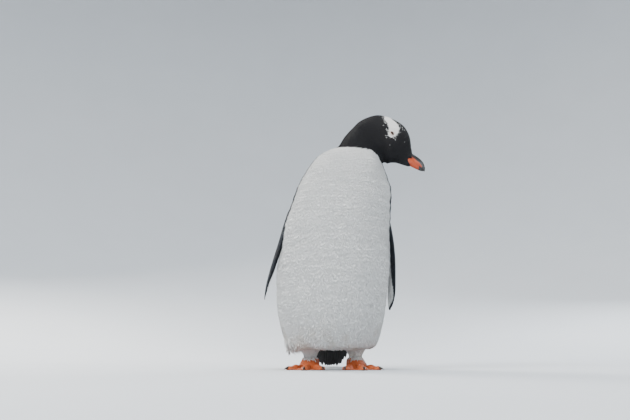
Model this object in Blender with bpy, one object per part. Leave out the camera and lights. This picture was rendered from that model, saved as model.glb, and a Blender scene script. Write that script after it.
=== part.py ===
"""Gentoo penguin standing at rest with its head turned to its left, as a life-size model.

Metres, +Z up. The breast faces -Y, the bird's own left side is +X and its soles are at Z = 0.
The trunk, neck and head are one loft, parted by thin cuts. Everything else is shaped against it.
The tables and the functions that make rings of points are in millimetres.
"""

import math

import bmesh
import bpy
import numpy as np
from mathutils import Matrix

MM = 0.001
GAP = 0.3

# The body's loft. Each row is one plane section: the point on the bird's left and throat side, the
# point on its right and nape side (x and z of each), then the y of its front and of its back.
TRUNK_ROWS = (
    (50, 39, -115, 39, -107, 38),
    (64, 51, -126, 51, -125, 61),
    (78.5, 98, -142, 98, -145, 77),
    (85, 148, -147, 148, -152, 70),
    (91.5, 200, -147, 200, -154, 58),
    (94, 248, -140, 248, -151, 51),
    (95.5, 298, -132.5, 298, -146, 46),
    (99, 343, -119, 345, -137, 41),
    (100, 376, -103, 387, -125, 36),
    (92, 407, -87, 419, -113, 30),
    (87, 423, -65, 449, -103, 24),
    (84, 432, -42, 464, -96, 18),
)
# The throat's corner, round which the neck and the head fan out like the leaves of a book, and the
# leaves: angle above the bird's left, length from the corner, and half width across the head.
THROAT_X = 87.5
THROAT_Z = 437.0
THROAT_RADIUS = 5.0
HEAD_Y = -41.0
LEAVES = (
    (161.0, 112.5, 52.0),
    (146.0, 109.0, 46.0),
    (131.0, 109.5, 40.5),
    (116.0, 114.0, 37.0),
    (98.0, 115.0, 35.0),
    (81.0, 107.5, 33.0),
    (64.0, 99.0, 29.5),
    (50.0, 87.0, 24.5),
    (37.0, 74.5, 20.0),
)
# The face in front of the leaves: chin x and z, forehead x and z, and half width. It ends square to
# the bill, in a section of the half height and half width given.
FACE_ROWS = (
    (99.0, 442.0, 146.8, 476.5, 18.3),
    (114.0, 441.2, 148.2, 470.0, 14.6),
)
FACE_END = (15.5, 11.0)
FRONT_ROUND = 2.05
BACK_ROUND = 2.35
RUMP_ROUND = 1.85
RUMP_TOP = 5.0
RING = 32
NECK_BASE = 12.0
HEAD_BASE = 14.6
TRUNK_RINGS = 29
NECK_RINGS = 7
HEAD_RINGS = 21

# Eyes: where they sit in the head's profile, and how far their centres are from its middle plane.
EYE_X = 100.5
EYE_Z = 498.0
EYE_RADIUS = 7.0
EYE_OFFSET = 26.2
EYE_SEGMENTS = 14
EYE_RINGS = 8

# Bill: where its root is, its tilt below the level, and its sizes above and below the mouth line.
# The lower half would come to its point at JAW_END and is cut off blunt at JAW_SHARE.
BILL_X = 139.1
BILL_Z = 451.5
BILL_TILT = math.radians(36.5)
BILL_LENGTH = 46.5
CULMEN_RISE = 14.0
JAW_DROP = 11.0
BILL_HALF_WIDTH = 8.8
MOUTH_LEVEL = -2.0
TIP_DROOP = 4.0
CULMEN_SHARE = 0.985
JAW_SHARE = 0.94
JAW_END = 0.96
# Each side of the bill falls to its point as (1 - share^first)^second.
WIDTH_FALL = (2.2, 0.62)
CULMEN_FALL = (3.5, 0.56)
JAW_FALL = (2.5, 0.6)
ARCH_ROUND = 0.85
BILL_RINGS = 12
BILL_ARC = 11

# Flippers: mid-line x, y and z, chord, thickness and lean, from inside the shoulder to the tip. Each
# is thicker towards its front edge, and leans so that its hind edge is nearer the bird's right.
RIGHT_FLIPPER = (
    (-84, -42, 362, 34, 24, 0),
    (-111, -45, 334, 42, 20, 0.04),
    (-125, -47, 302, 54, 16, 0.07),
    (-138, -47, 262, 65, 13, 0.10),
    (-148.5, -44, 230, 66, 12, 0.10),
    (-159, -37, 198, 58, 10.5, 0.10),
    (-167, -28, 174, 42, 7.5, 0.10),
    (-172.5, -20, 153, 24, 4, 0.10),
    (-173.6, -17, 147, 10, 1.8, 0.10),
)
LEFT_FLIPPER = (
    (57, -42, 358, 34, 24, 0),
    (78, -45, 330, 42, 20, 0.04),
    (87, -47, 298, 54, 15, 0.07),
    (92.3, -47, 260, 65, 12, 0.10),
    (95.3, -44, 222, 66, 11, 0.10),
    (96.5, -37, 182, 58, 9.5, 0.12),
    (96, -28, 152, 42, 6.5, 0.25),
    (94.5, -20, 132, 24, 3.6, 0.30),
    (93.5, -17, 125, 10, 1.6, 0.30),
)
FLIPPER_SWELL = 0.3
FLIPPER_RING = 16
FLIPPER_RINGS = 17

# Legs and feet. Toe angles are from straight ahead, positive towards the foot's outer side.
STANCE_X = -29.0
STANCE_HALF = 47.0
ANKLE_Y = -34.0
ANKLE_Z = 23.0
LEG_TOP = 39.0 - GAP
LEG_RING = 16
# Shank, from the belly down: height, half width, half depth, and how far it is behind the ankle.
SHANK_RINGS = (
    (LEG_TOP, 26.0, 31.0, 6.0),
    (34.0, 21.5, 26.0, 4.0),
    (28.0, 17.0, 20.0, 1.5),
    (ANKLE_Z + GAP, 14.0, 15.0, 0.0),
)
TOE_OUT = math.radians(8.0)
TOE_ANGLES = (-29.0, 0.0, 29.0)
TOE_LENGTHS = (72.0, 84.0, 75.0)
TOE_HALF_WIDTH = 8.0
TOE_HEIGHT = 11.0
TOE_DROP = 7.0
WEB_REACH = 69.0
WEB_SCOOP = 7.0
WEB_THICK = 3.0
ANKLE_RADIUS = 16.0
ANKLE_TOP_RADIUS = 12.0
MOUND_LENGTH = 26.0
HALLUX_ANGLE = -128.0
HALLUX_LENGTH = 17.0
HALLUX_HALF_WIDTH = 5.0
FOOT_POINTS = 48
FOOT_SHARES = (0.0, 0.16, 0.36, 0.58, 0.8, 1.0)
# How strongly the foot's points crowd towards its toes: 0 is even, and 1 is the most.
TOE_CROWDING = 0.72
CLAW_LENGTH = 17.0
CLAW_RADIUS = 3.1
CLAW_TAPER = 0.93
CLAW_FALL = 1.4
CLAW_RING = 8
CLAW_RINGS = 5
CLAW_ROOT = 6.0
CLAW_RISE = 4.6
CLAW_BEND = 3.2

# Tail: a fan of stiff pointed feathers, from inside the rump down to the floor, which it reaches at
# FLOOR_SHARE of its length. Body feathers swell and widen its root, as far as SWELL_SHARE.
TAIL_ROOT = (26.0, 132.0)
TAIL_START = 0.12
TAIL_TIP_Y = 156.0
TAIL_BEND = 9.0
FLOOR_SHARE = 0.92
TAIL_FEATHERS = 14
TAIL_HALF_WIDTH = 43.0
ROOT_WIDTH_SHARE = 0.62
OPENING = 1.3
SIDE_THINNER = 0.6
TAIL_RINGS = 10
TAIL_THICK = 8.0
TIP_THICK = 2.6
TOP_SHARE = 0.7
TIP_FLATTEN = 1.2
SIDE_SHORTER = 0.30
NOTCH_DEPTH = 0.075
SWELL_SHARE = 0.54
ROOT_SWELL = 84.0
ROOT_FLARE = 38.0
SWELL_FALL = 1.4
FLARE_FALL = 1.5
SWELL_OVAL = 0.98

COLOURS = {
    "trunk": (0.80, 0.80, 0.78),
    "neck": (0.05, 0.05, 0.06),
    "head": (0.03, 0.03, 0.035),
    "bill": (0.62, 0.13, 0.03),
    "eye": (0.06, 0.03, 0.015),
    "flipper": (0.05, 0.06, 0.08),
    "leg": (0.78, 0.77, 0.74),
    "foot": (0.80, 0.30, 0.17),
    "claw": (0.03, 0.025, 0.02),
    "tail": (0.02, 0.02, 0.025),
}
GLOSSY = ("eye", "claw", "bill")


def clear_scene():
    """Removes what the scene holds."""
    for item in list(bpy.data.objects):
        bpy.data.objects.remove(item, do_unlink=True)


def add_finish(mesh, name, kind):
    """Gives a mesh its own Principled material, in one of the bird's plain colours."""
    made = bpy.data.materials.new(name + "_finish")
    made.use_nodes = True
    shader = made.node_tree.nodes["Principled BSDF"]
    shader.inputs["Base Color"].default_value = (*COLOURS[kind], 1.0)
    shader.inputs["Roughness"].default_value = 0.2 if kind in GLOSSY else 0.8
    mesh.materials.append(made)


def add_object(name, mesh, kind):
    """Links a finished mesh as the object NAME."""
    mesh.shade_smooth()
    mesh.set_sharp_from_angle(angle=math.radians(50))
    add_finish(mesh, name, kind)
    item = bpy.data.objects.new(name, mesh)
    bpy.context.scene.collection.objects.link(item)
    return item


def add_cutter(name, mesh):
    """Links a hidden helper that shapes another object."""
    item = bpy.data.objects.new(name, mesh)
    bpy.context.scene.collection.objects.link(item)
    item.hide_render = True
    item.display_type = "WIRE"
    return item


def cut(item, tool):
    """Takes the tool's shape out of the item."""
    boolean = item.modifiers.new("cut_" + tool.name, "BOOLEAN")
    boolean.operation = "DIFFERENCE"
    boolean.solver = "EXACT"
    boolean.object = tool


def to_mesh(bm, name):
    """The bmesh as a mesh, with its faces turned outwards."""
    bmesh.ops.recalc_face_normals(bm, faces=bm.faces)
    mesh = bpy.data.meshes.new(name)
    bm.to_mesh(mesh)
    bm.free()
    return mesh


def loft(name, rings, flat=False):
    """A closed mesh through rings of equal count, with a cap on each end. The rings of a flat thing
    run out along its top and back along its underside, and its caps are strips between the two."""
    rings = np.asarray(rings) * MM
    bm = bmesh.new()
    loops = [[bm.verts.new(point) for point in ring] for ring in rings]
    count = len(loops[0])
    for low, high in zip(loops, loops[1:]):
        for k, corner in enumerate(low):
            after = (k + 1) % count
            bm.faces.new((corner, low[after], high[after], high[k]))
    for ring in (loops[0], loops[-1]):
        if flat:
            for k in range(count // 2 - 1):
                bm.faces.new((ring[k], ring[k + 1], ring[count - 2 - k], ring[count - 1 - k]))
        else:
            bm.faces.new(ring)
    return to_mesh(bm, name)


def through(rows, place):
    """The smooth curve through the rows (Catmull-Rom), read at a place from 0 to len(rows) - 1."""
    rows = np.asarray(rows, float)
    place = min(max(place, 0.0), len(rows) - 1.0)
    first = min(int(place), len(rows) - 2)
    t = place - first
    padded = np.vstack([2 * rows[0] - rows[1], rows, 2 * rows[-1] - rows[-2]])
    a, b, c, d = padded[first : first + 4]
    return b + 0.5 * t * (c - a + t * (2 * a - 5 * b + 4 * c - d + t * (3 * (b - c) + d - a)))


def body_rows():
    """All sections of the body, from the belly's underside to the face, as the trunk's rows are."""
    rows = [list(row) for row in TRUNK_ROWS]
    for angle, length, half in LEAVES:
        c = math.cos(math.radians(angle))
        s = math.sin(math.radians(angle))
        near = (THROAT_X + THROAT_RADIUS * c, THROAT_Z + THROAT_RADIUS * s)
        far = (THROAT_X + length * c, THROAT_Z + length * s)
        rows.append([*near, *far, HEAD_Y - half, HEAD_Y + half])
    for chin_x, chin_z, brow_x, brow_z, half in FACE_ROWS:
        rows.append([chin_x, chin_z, brow_x, brow_z, HEAD_Y - half, HEAD_Y + half])
    tall, half = FACE_END
    over = tall * math.sin(BILL_TILT)
    up = tall * math.cos(BILL_TILT)
    end = [BILL_X - over, BILL_Z - up, BILL_X + over, BILL_Z + up, HEAD_Y - half, HEAD_Y + half]
    rows.append(end)
    return rows


def body_ring(place, shift=0.0, grow=0.0):
    """The outline of one section as a ring of points. A positive shift moves it towards the head
    along its own normal, and grow makes it that much larger all round."""
    near_x, near_z, far_x, far_z, front, back = through(body_rows(), place)
    middle = np.array([(near_x + far_x) / 2, (front + back) / 2, (near_z + far_z) / 2])
    side = np.array([near_x - far_x, 0.0, near_z - far_z])
    half_side = np.linalg.norm(side) / 2
    side = side / (2 * half_side)
    normal = np.array([-side[2], 0.0, side[0]])
    angle = np.arange(RING) * 2 * math.pi / RING
    c = np.cos(angle)
    s = np.sin(angle)
    back_round = RUMP_ROUND + (BACK_ROUND - RUMP_ROUND) * min(place / RUMP_TOP, 1.0)
    power = np.where(s < 0, FRONT_ROUND, back_round)
    across = (np.abs(c) / (half_side + grow)) ** power
    along = (np.abs(s) / ((back - front) / 2 + grow)) ** power
    radius = (across + along) ** (-1 / power)
    depth = np.array([0.0, 1.0, 0.0])
    return middle + shift * normal + np.outer(radius * c, side) + np.outer(radius * s, depth)


def add_body_piece(name, low, high, count, low_gap, high_gap):
    """One length of the body between two places, with half the gap taken off an end where asked."""
    rings = [body_ring(place) for place in np.linspace(low, high, count)]
    rings[0] = body_ring(low, GAP / 2 * low_gap)
    rings[-1] = body_ring(high, -GAP / 2 * high_gap)
    return add_object(name, loft(name, rings), name)


def make_body():
    """Trunk, neck and head. It gives back the head and a grown copy of the trunk as a cutter."""
    last = len(body_rows()) - 1
    add_body_piece("trunk", 0, NECK_BASE, TRUNK_RINGS, False, True)
    add_body_piece("neck", NECK_BASE, HEAD_BASE, NECK_RINGS, True, True)
    head = add_body_piece("head", HEAD_BASE, last, HEAD_RINGS, True, False)
    rings = [body_ring(place, 0, GAP) for place in np.linspace(0, NECK_BASE, TRUNK_RINGS)]
    return head, add_cutter("trunk_cutter", loft("trunk_cutter", rings))


def ball(name, centre, radius):
    """A sphere's mesh, with its poles along Y."""
    bm = bmesh.new()
    turned = Matrix.Translation(np.asarray(centre) * MM) @ Matrix.Rotation(math.pi / 2, 4, "X")
    bmesh.ops.create_uvsphere(
        bm, u_segments=EYE_SEGMENTS, v_segments=EYE_RINGS, radius=radius * MM, matrix=turned
    )
    return to_mesh(bm, name)


def make_eyes(head):
    """An eyeball in a socket on each side of the head."""
    for side, y_sign in (("right", -1), ("left", 1)):
        centre = (EYE_X, HEAD_Y + y_sign * EYE_OFFSET, EYE_Z)
        name = "eye_" + side
        add_object(name, ball(name, centre, EYE_RADIUS), "eye")
        cut(head, add_cutter(name + "_socket", ball(name, centre, EYE_RADIUS + GAP)))


def fall(share, powers):
    """A blunt fall from 1 at the root to 0 at the point."""
    first, second = powers
    return (1 - share**first) ** second


def bill_profile(share):
    """Half width, top, mouth line and bottom of the closed bill at a share of its length."""
    mouth = MOUTH_LEVEL * (1 - share) - TIP_DROOP * share**4
    width = BILL_HALF_WIDTH * fall(share, WIDTH_FALL)
    top = mouth + (CULMEN_RISE - MOUTH_LEVEL) * fall(share, CULMEN_FALL)
    bottom = mouth - JAW_DROP * fall(min(share / JAW_END, 1), JAW_FALL)
    return width, top, mouth, bottom


def bill_ring(share, upper):
    """One section of a half of the bill: an arch over, or a keel under, the flat of the mouth."""
    width, top, mouth, bottom = bill_profile(share)
    level = mouth + GAP / 2 if upper else mouth - GAP / 2
    reach = top - level if upper else bottom - level
    angle = np.linspace(0, math.pi, BILL_ARC)
    y = HEAD_Y + width * np.cos(angle)
    rise = level + reach * np.sin(angle) ** ARCH_ROUND
    along = GAP + share * BILL_LENGTH
    c = math.cos(BILL_TILT)
    s = math.sin(BILL_TILT)
    return np.column_stack([BILL_X + along * c + rise * s, y, BILL_Z - along * s + rise * c])


def make_bill():
    """The bill's two halves, the upper one longer and bent down a little over the lower."""
    for name, upper, reach in (("bill_upper", True, CULMEN_SHARE), ("bill_lower", False, JAW_SHARE)):
        turns = np.linspace(0, math.pi / 2, BILL_RINGS)
        rings = [bill_ring(reach * math.sin(turn), upper) for turn in turns]
        add_object(name, loft(name, rings), "bill")


def flipper_ring(rows, place):
    """One level section of a flipper: a long oval, thicker towards its front edge and leaning."""
    x, y, z, chord, thick, lean = through(rows, place)
    angle = np.arange(FLIPPER_RING) * 2 * math.pi / FLIPPER_RING
    forward = -np.cos(angle)
    swell = thick / 2 * np.sin(angle) * (1 + FLIPPER_SWELL * forward)
    x = x + lean * forward * chord / 2
    return np.column_stack([x + swell, y - forward * chord / 2, np.full(FLIPPER_RING, z)])


def make_flippers(trunk_cutter):
    """Both flippers, trimmed at the shoulder to sit against the trunk."""
    for name, rows in (("flipper_right", RIGHT_FLIPPER), ("flipper_left", LEFT_FLIPPER)):
        places = np.linspace(0, len(rows) - 1, FLIPPER_RINGS)
        rings = [flipper_ring(rows, place) for place in places]
        cut(add_object(name, loft(name, rings), "flipper"), trunk_cutter)


def oval(x, y, z, half_x, half_y):
    """A level oval ring."""
    angle = np.arange(LEG_RING) * 2 * math.pi / LEG_RING
    ring = [x + half_x * np.cos(angle), y + half_y * np.sin(angle), np.full(LEG_RING, z)]
    return np.column_stack(ring)


def make_leg(side, x):
    """The feathered shank between the belly and the foot."""
    rings = [oval(x, ANKLE_Y + back, z, wide, deep) for z, wide, deep, back in SHANK_RINGS]
    add_object("leg_" + side, loft("leg_" + side, rings), "leg")


def toes(outward):
    """Angle and length of each toe of a foot, about its ankle. Outward is -1 or 1 along X."""
    angles = [outward * (math.radians(angle) + TOE_OUT) for angle in TOE_ANGLES]
    return list(zip(angles, TOE_LENGTHS))


def hallux(outward):
    """Angle and length of the small hind toe."""
    return outward * (math.radians(HALLUX_ANGLE) + TOE_OUT), HALLUX_LENGTH


def toe_reach(offset, length, half_width):
    """How far a round-ended toe reaches from the ankle, at an angle off its own line."""
    off = np.abs(np.arctan2(np.sin(offset), np.cos(offset)))
    lateral = length * np.sin(off)
    end = length * np.cos(off) + np.sqrt(np.maximum(half_width**2 - lateral**2, 0))
    side = half_width / np.maximum(np.sin(off), 1e-6)
    meets = (length * np.tan(np.minimum(off, 1.5)) > half_width) | (off > 1.5)
    return np.where(off > math.pi / 2, half_width, np.where(meets, side, end))


def foot_outline(angle, outward):
    """The foot's reach from the ankle at each angle: its toes, the webs and the heel."""
    reach = np.full(angle.shape, ANKLE_RADIUS)
    for toe_angle, length in toes(outward):
        reach = np.maximum(reach, toe_reach(angle - toe_angle, length - TOE_HALF_WIDTH, TOE_HALF_WIDTH))
    hind_angle, hind_length = hallux(outward)
    reach = np.maximum(reach, toe_reach(angle - hind_angle, hind_length, HALLUX_HALF_WIDTH))
    first, middle, last = (toe_angle for toe_angle, _ in toes(outward))
    inside = (angle > min(first, last)) & (angle < max(first, last))
    spread = abs(middle - first) / 2
    scoop = np.minimum(np.abs(angle - (first + middle) / 2), np.abs(angle - (last + middle) / 2))
    web = WEB_REACH - WEB_SCOOP * np.cos(np.minimum(scoop / spread, 1) * math.pi / 2)
    return np.where(inside, np.maximum(reach, web), reach)


def foot_height(angle, distance, outward):
    """Height of the foot's upper side over the floor."""
    height = np.full(angle.shape, WEB_THICK)
    for toe_angle, length in [*toes(outward), hallux(outward)]:
        off = np.arctan2(np.sin(angle - toe_angle), np.cos(angle - toe_angle))
        aside = np.where(np.abs(off) > math.pi / 2, TOE_HALF_WIDTH, distance * np.abs(np.sin(off)))
        ridge = np.sqrt(np.maximum(1 - (aside / TOE_HALF_WIDTH) ** 2, 0))
        end = np.clip((length - distance) / TOE_DROP, 0, 1) ** 0.5
        height = np.maximum(height, WEB_THICK + (TOE_HEIGHT - WEB_THICK) * ridge * end)
    mound = np.clip((distance - ANKLE_TOP_RADIUS) / MOUND_LENGTH, 0, 1)
    swell = 0.5 + 0.5 * np.cos(math.pi * mound)
    return np.maximum(height, WEB_THICK + (ANKLE_Z - WEB_THICK) * swell * (mound < 1))


def foot_angles(outward):
    """Angles round the ankle, closest together over the toes."""
    turn = np.arange(FOOT_POINTS) / FOOT_POINTS * 2 * math.pi - math.pi
    return outward * TOE_OUT + turn - TOE_CROWDING * np.sin(turn)


def foot_mesh(name, x, outward):
    """A webbed foot: rings that run out from the ankle's top to the edge, and a flat sole."""
    angle = foot_angles(outward)
    edge = foot_outline(angle, outward)
    rings = []
    for share in FOOT_SHARES:
        distance = ANKLE_TOP_RADIUS * (1 - share) + edge * share
        height = foot_height(angle, distance, outward)
        rings.append((distance, np.where(share == 0, ANKLE_Z, height)))
    rings.append((edge, np.zeros(len(angle))))
    points = [
        np.column_stack([x + d * np.sin(angle), ANKLE_Y - d * np.cos(angle), h]) for d, h in rings
    ]
    return loft(name, points)


def claw_rings(x, angle, length, grow=0.0):
    """A claw at the end of a toe: a cone that bends down to just over the floor."""
    rings = []
    for share in np.linspace(0, 1, CLAW_RINGS):
        distance = length - CLAW_ROOT - grow + (CLAW_LENGTH + 2 * grow) * share
        radius = CLAW_RADIUS * (1 - CLAW_TAPER * share**CLAW_FALL) + grow
        middle = CLAW_RISE - CLAW_BEND * share**2
        around = np.arange(CLAW_RING) * 2 * math.pi / CLAW_RING
        across = radius * np.cos(around)
        px = x + distance * math.sin(angle) + across * math.cos(angle)
        py = ANKLE_Y - distance * math.cos(angle) + across * math.sin(angle)
        rings.append(np.column_stack([px, py, middle + radius * np.sin(around)]))
    return rings


def make_foot(side, outward):
    """One leg, its foot and the four claws in their sockets."""
    x = STANCE_X + outward * STANCE_HALF
    make_leg(side, x)
    foot = add_object("foot_" + side, foot_mesh("foot_" + side, x, outward), "foot")
    digits = [*toes(outward), hallux(outward)]
    for digit, (angle, length) in zip(("inner", "middle", "outer", "hind"), digits):
        name = "claw_" + digit + "_" + side
        add_object(name, loft(name, claw_rings(x, angle, length)), "claw")
        socket = loft(name + "_socket", claw_rings(x, angle, length, GAP))
        cut(foot, add_cutter(name + "_socket", socket))


def tail_line(share):
    """A point of the tail's middle line (y, z), which runs down, bends and lies along the floor, and
    the direction across it, upwards."""
    root_y, root_z = TAIL_ROOT
    line = root_z * (1 - share / FLOOR_SHARE)
    reach = math.hypot(line, TAIL_BEND)
    y = root_y + (TAIL_TIP_Y - root_y) * share
    z = 0.5 * (line + reach)
    slope = -0.5 * root_z / FLOOR_SHARE * (1 + line / reach) / (TAIL_TIP_Y - root_y)
    return np.array([y, z]), np.array([-slope, 1.0]) / math.hypot(slope, 1.0)


def tail_ring(share):
    """One section across the tail. Its end is cut back between the feathers' points."""
    columns = np.linspace(-1, 1, 2 * TAIL_FEATHERS + 1)
    notch = 1 - np.arange(len(columns)) % 2
    own = share * (1 - SIDE_SHORTER * columns**2 - NOTCH_DEPTH * notch)
    lines = [tail_line(place) for place in own]
    middle = np.array([point for point, _ in lines])
    upward = np.array([across for _, across in lines])
    opening = math.sin(min(share * OPENING, 1) * math.pi / 2)
    rooted = max(1 - share / SWELL_SHARE, 0)
    spread = TAIL_HALF_WIDTH * (ROOT_WIDTH_SHARE + (1 - ROOT_WIDTH_SHARE) * opening)
    spread += ROOT_FLARE * rooted**FLARE_FALL
    thinner = (1 - share) * (1 - SIDE_THINNER * columns**2)
    thick = TIP_THICK + (TAIL_THICK - TIP_THICK) * thinner
    thick += ROOT_SWELL * rooted**SWELL_FALL * np.sqrt(1 - SWELL_OVAL * columns**2)
    top_share = TOP_SHARE + (0.5 - TOP_SHARE) * min(2 * rooted, 1)
    x = STANCE_X + columns * spread
    top = middle + upward * (thick * top_share)[:, None]
    under = middle - upward * (thick * (1 - top_share))[:, None]
    under[:, 1] = np.maximum(under[:, 1] - TIP_FLATTEN, 0)
    return np.vstack([np.column_stack([x, top]), np.column_stack([x, under])[::-1]])


def make_tail(trunk_cutter):
    """The tail's fan, trimmed at the rump to sit against the trunk."""
    rings = [tail_ring(share) for share in np.linspace(TAIL_START, 1, TAIL_RINGS)]
    cut(add_object("tail", loft("tail", rings, flat=True), "tail"), trunk_cutter)


def main():
    clear_scene()
    head, trunk_cutter = make_body()
    make_eyes(head)
    make_bill()
    make_flippers(trunk_cutter)
    make_foot("right", -1)
    make_foot("left", 1)
    make_tail(trunk_cutter)


main()
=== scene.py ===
"""Looks of a life-size gentoo penguin: skin, feathers, bill, eyes, feet and tail.

Lengths are in millimetres until a mesh is made. +Z is up, the breast faces -Y, and the head is
turned to +X. A surface is a grid of points [row, column, xyz]: its rows run from the tail end
towards the bill, or from a limb's tip to its root, so that feathers always lie towards row 0, and
its columns run once round. Feathers are short vanes whose roots are spread over such a grid.
"""

import math

import bmesh
import bpy
import numpy as np
from mathutils import Matrix


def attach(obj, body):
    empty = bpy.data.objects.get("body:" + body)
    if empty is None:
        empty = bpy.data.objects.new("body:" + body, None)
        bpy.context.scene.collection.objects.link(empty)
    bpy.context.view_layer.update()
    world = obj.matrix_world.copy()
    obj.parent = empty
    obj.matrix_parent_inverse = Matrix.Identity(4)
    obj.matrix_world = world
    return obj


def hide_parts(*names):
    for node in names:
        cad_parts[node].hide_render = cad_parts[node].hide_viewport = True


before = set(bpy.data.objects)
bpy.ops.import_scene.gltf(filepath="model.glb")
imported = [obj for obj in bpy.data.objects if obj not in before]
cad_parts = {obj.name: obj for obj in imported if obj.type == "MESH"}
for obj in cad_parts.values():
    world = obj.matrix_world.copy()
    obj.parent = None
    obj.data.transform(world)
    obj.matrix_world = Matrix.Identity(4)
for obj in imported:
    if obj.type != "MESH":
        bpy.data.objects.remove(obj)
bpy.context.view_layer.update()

MM = 0.001
rng = np.random.default_rng(20)

# Body: each row is one plane section: the point on the throat side and the point on the nape side
# (x and z of each), then the y of its front and of its back.
TRUNK_ROWS = (
    (50, 39, -115, 39, -107, 38),
    (64, 51, -126, 51, -125, 61),
    (78.5, 98, -142, 98, -145, 77),
    (85, 148, -147, 148, -152, 70),
    (91.5, 200, -147, 200, -154, 58),
    (94, 248, -140, 248, -151, 51),
    (95.5, 298, -132.5, 298, -146, 46),
    (99, 343, -119, 345, -137, 41),
    (100, 376, -103, 387, -125, 36),
    (92, 407, -87, 419, -113, 30),
    (87, 423, -65, 449, -103, 24),
    (84, 432, -42, 464, -96, 18),
)
THROAT = (87.5, 437.0)
THROAT_RADIUS = 5.0
HEAD_Y = -41.0
LEAVES = (
    (161, 112.5, 52),
    (146, 109, 46),
    (131, 109.5, 40.5),
    (116, 114, 37),
    (98, 115, 35),
    (81, 107.5, 33),
    (64, 99, 29.5),
    (50, 87, 24.5),
    (37, 74.5, 20),
)
FACE_ROWS = ((99, 442, 146.8, 476.5, 18.3), (114, 441.2, 148.2, 470, 14.6))
FACE_END = (15.5, 11.0)
FRONT_ROUND = 2.05
BACK_ROUND = 2.35
RUMP_ROUND = 1.85
RUMP_TOP = 5.0
# Where the breast, neck, head, crown and face begin, as places along the body.
BREAST_PLACE = 6
NECK_PLACE = 12.0
HEAD_PLACE = 14.6
CROWN_PLACE = 15.5
FACE_PLACE = 20

EYE = np.array([100.5, HEAD_Y, 498.0])
EYE_OFFSET = 26.2
EYE_RADIUS = 7.0
EYE_TILT = math.radians(54)
EYE_OPEN = (4.5, 2.5)

BILL = np.array([139.1, HEAD_Y, 451.5])
BILL_TILT = math.radians(36.5)
BILL_LENGTH = 46.5
CULMEN_RISE = 14.0
JAW_DROP = 11.0
BILL_HALF_WIDTH = 8.8

RIGHT_FLIPPER = (
    (-84, -42, 362, 34, 24, 0),
    (-111, -45, 334, 42, 20, 0.04),
    (-125, -47, 302, 54, 16, 0.07),
    (-138, -47, 262, 65, 13, 0.10),
    (-148.5, -44, 230, 66, 12, 0.10),
    (-159, -37, 198, 58, 10.5, 0.10),
    (-167, -28, 174, 42, 7.5, 0.10),
    (-172.5, -20, 153, 24, 4, 0.10),
    (-173.6, -17, 147, 10, 1.8, 0.10),
)
LEFT_FLIPPER = (
    (57, -42, 358, 34, 24, 0),
    (78, -45, 330, 42, 20, 0.04),
    (87, -47, 298, 54, 15, 0.07),
    (92.3, -47, 260, 65, 12, 0.10),
    (95.3, -44, 222, 66, 11, 0.10),
    (96.5, -37, 182, 58, 9.5, 0.12),
    (96, -28, 152, 42, 6.5, 0.25),
    (94.5, -20, 132, 24, 3.6, 0.30),
    (93.5, -17, 125, 10, 1.6, 0.30),
)

STANCE_X = -29.0
STANCE_HALF = 47.0
ANKLE_Y = -34.0
ANKLE_Z = 23.0
TOE_OUT = math.radians(8)
TOE_ANGLES = (-29, 0, 29)
TOE_LENGTHS = (72.0, 84.0, 75.0)
TOE_HALF_WIDTH = 8.0
HALLUX_ANGLE = -128
HALLUX_LENGTH = 17.0
CLAW_LENGTH = 17.0
CLAW_RADIUS = 3.1

# How deep the skin lies under the tips of the feathers, and the width and length of the feathers,
# by place along the body.
COAT_PLACES = (-1, 0, 6, 11, 13, 15, 18, 20, 22, 24)
COAT_DEPTH = (3.0, 3.2, 3.2, 2.8, 2.4, 2.0, 1.6, 1.3, 1.0, 0.8)
COAT_WIDTH = (2.6, 2.7, 2.7, 2.4, 2.0, 1.6, 1.3, 1.1, 0.9, 0.8)
COAT_LENGTH = (12, 14, 13.5, 11.0, 8.6, 6.6, 5.3, 4.2, 3.0, 2.2)
COAT_SHARE = (0.11, 0.11, 0.11, 0.11, 0.12, 0.14, 0.16, 0.20, 0.26, 0.34)


def unit(vectors):
    """Vectors divided by their lengths."""
    return vectors / np.maximum(np.linalg.norm(vectors, axis=-1, keepdims=True), 1e-12)


def smooth(low, high, value):
    """0 below low, 1 above high, and 3t^2 - 2t^3 between."""
    t = np.clip((value - low) / (high - low), 0, 1)
    return t * t * (3 - 2 * t)


def through(rows, place):
    """The Catmull-Rom curve through the rows at every place of an array, 0 at the first row."""
    rows = np.asarray(rows, float)
    place = np.clip(np.asarray(place, float), 0, len(rows) - 1)
    first = np.minimum(place.astype(int), len(rows) - 2)
    t = (place - first)[..., None]
    padded = np.vstack([2 * rows[0] - rows[1], rows, 2 * rows[-1] - rows[-2]])
    a, b, c, d = (padded[first + k] for k in range(4))
    return b + 0.5 * t * (c - a + t * (2 * a - 5 * b + 4 * c - d + t * (3 * (b - c) + d - a)))


def waves(points, size, seed, count=6):
    """Soft noise from -1 to 1: the mean of a few sine waves, each along its own direction, with
    wavelengths about the size given."""
    own = np.random.default_rng(seed)
    total = np.zeros(points.shape[:-1])
    for _ in range(count):
        way = unit(own.normal(size=3)) * 2 * math.pi / (size * own.uniform(0.7, 1.4))
        total += np.sin(points @ way + own.uniform(0, 2 * math.pi))
    return total / math.sqrt(count * 2)


def grid_normals(grid, outward=1):
    """The normals of a grid: the cross product of its steps along columns and along rows. The
    columns wrap."""
    down = np.gradient(grid, axis=0)
    across = np.roll(grid, -1, axis=1) - np.roll(grid, 1, axis=1)
    return outward * unit(np.cross(across, down))


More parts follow.
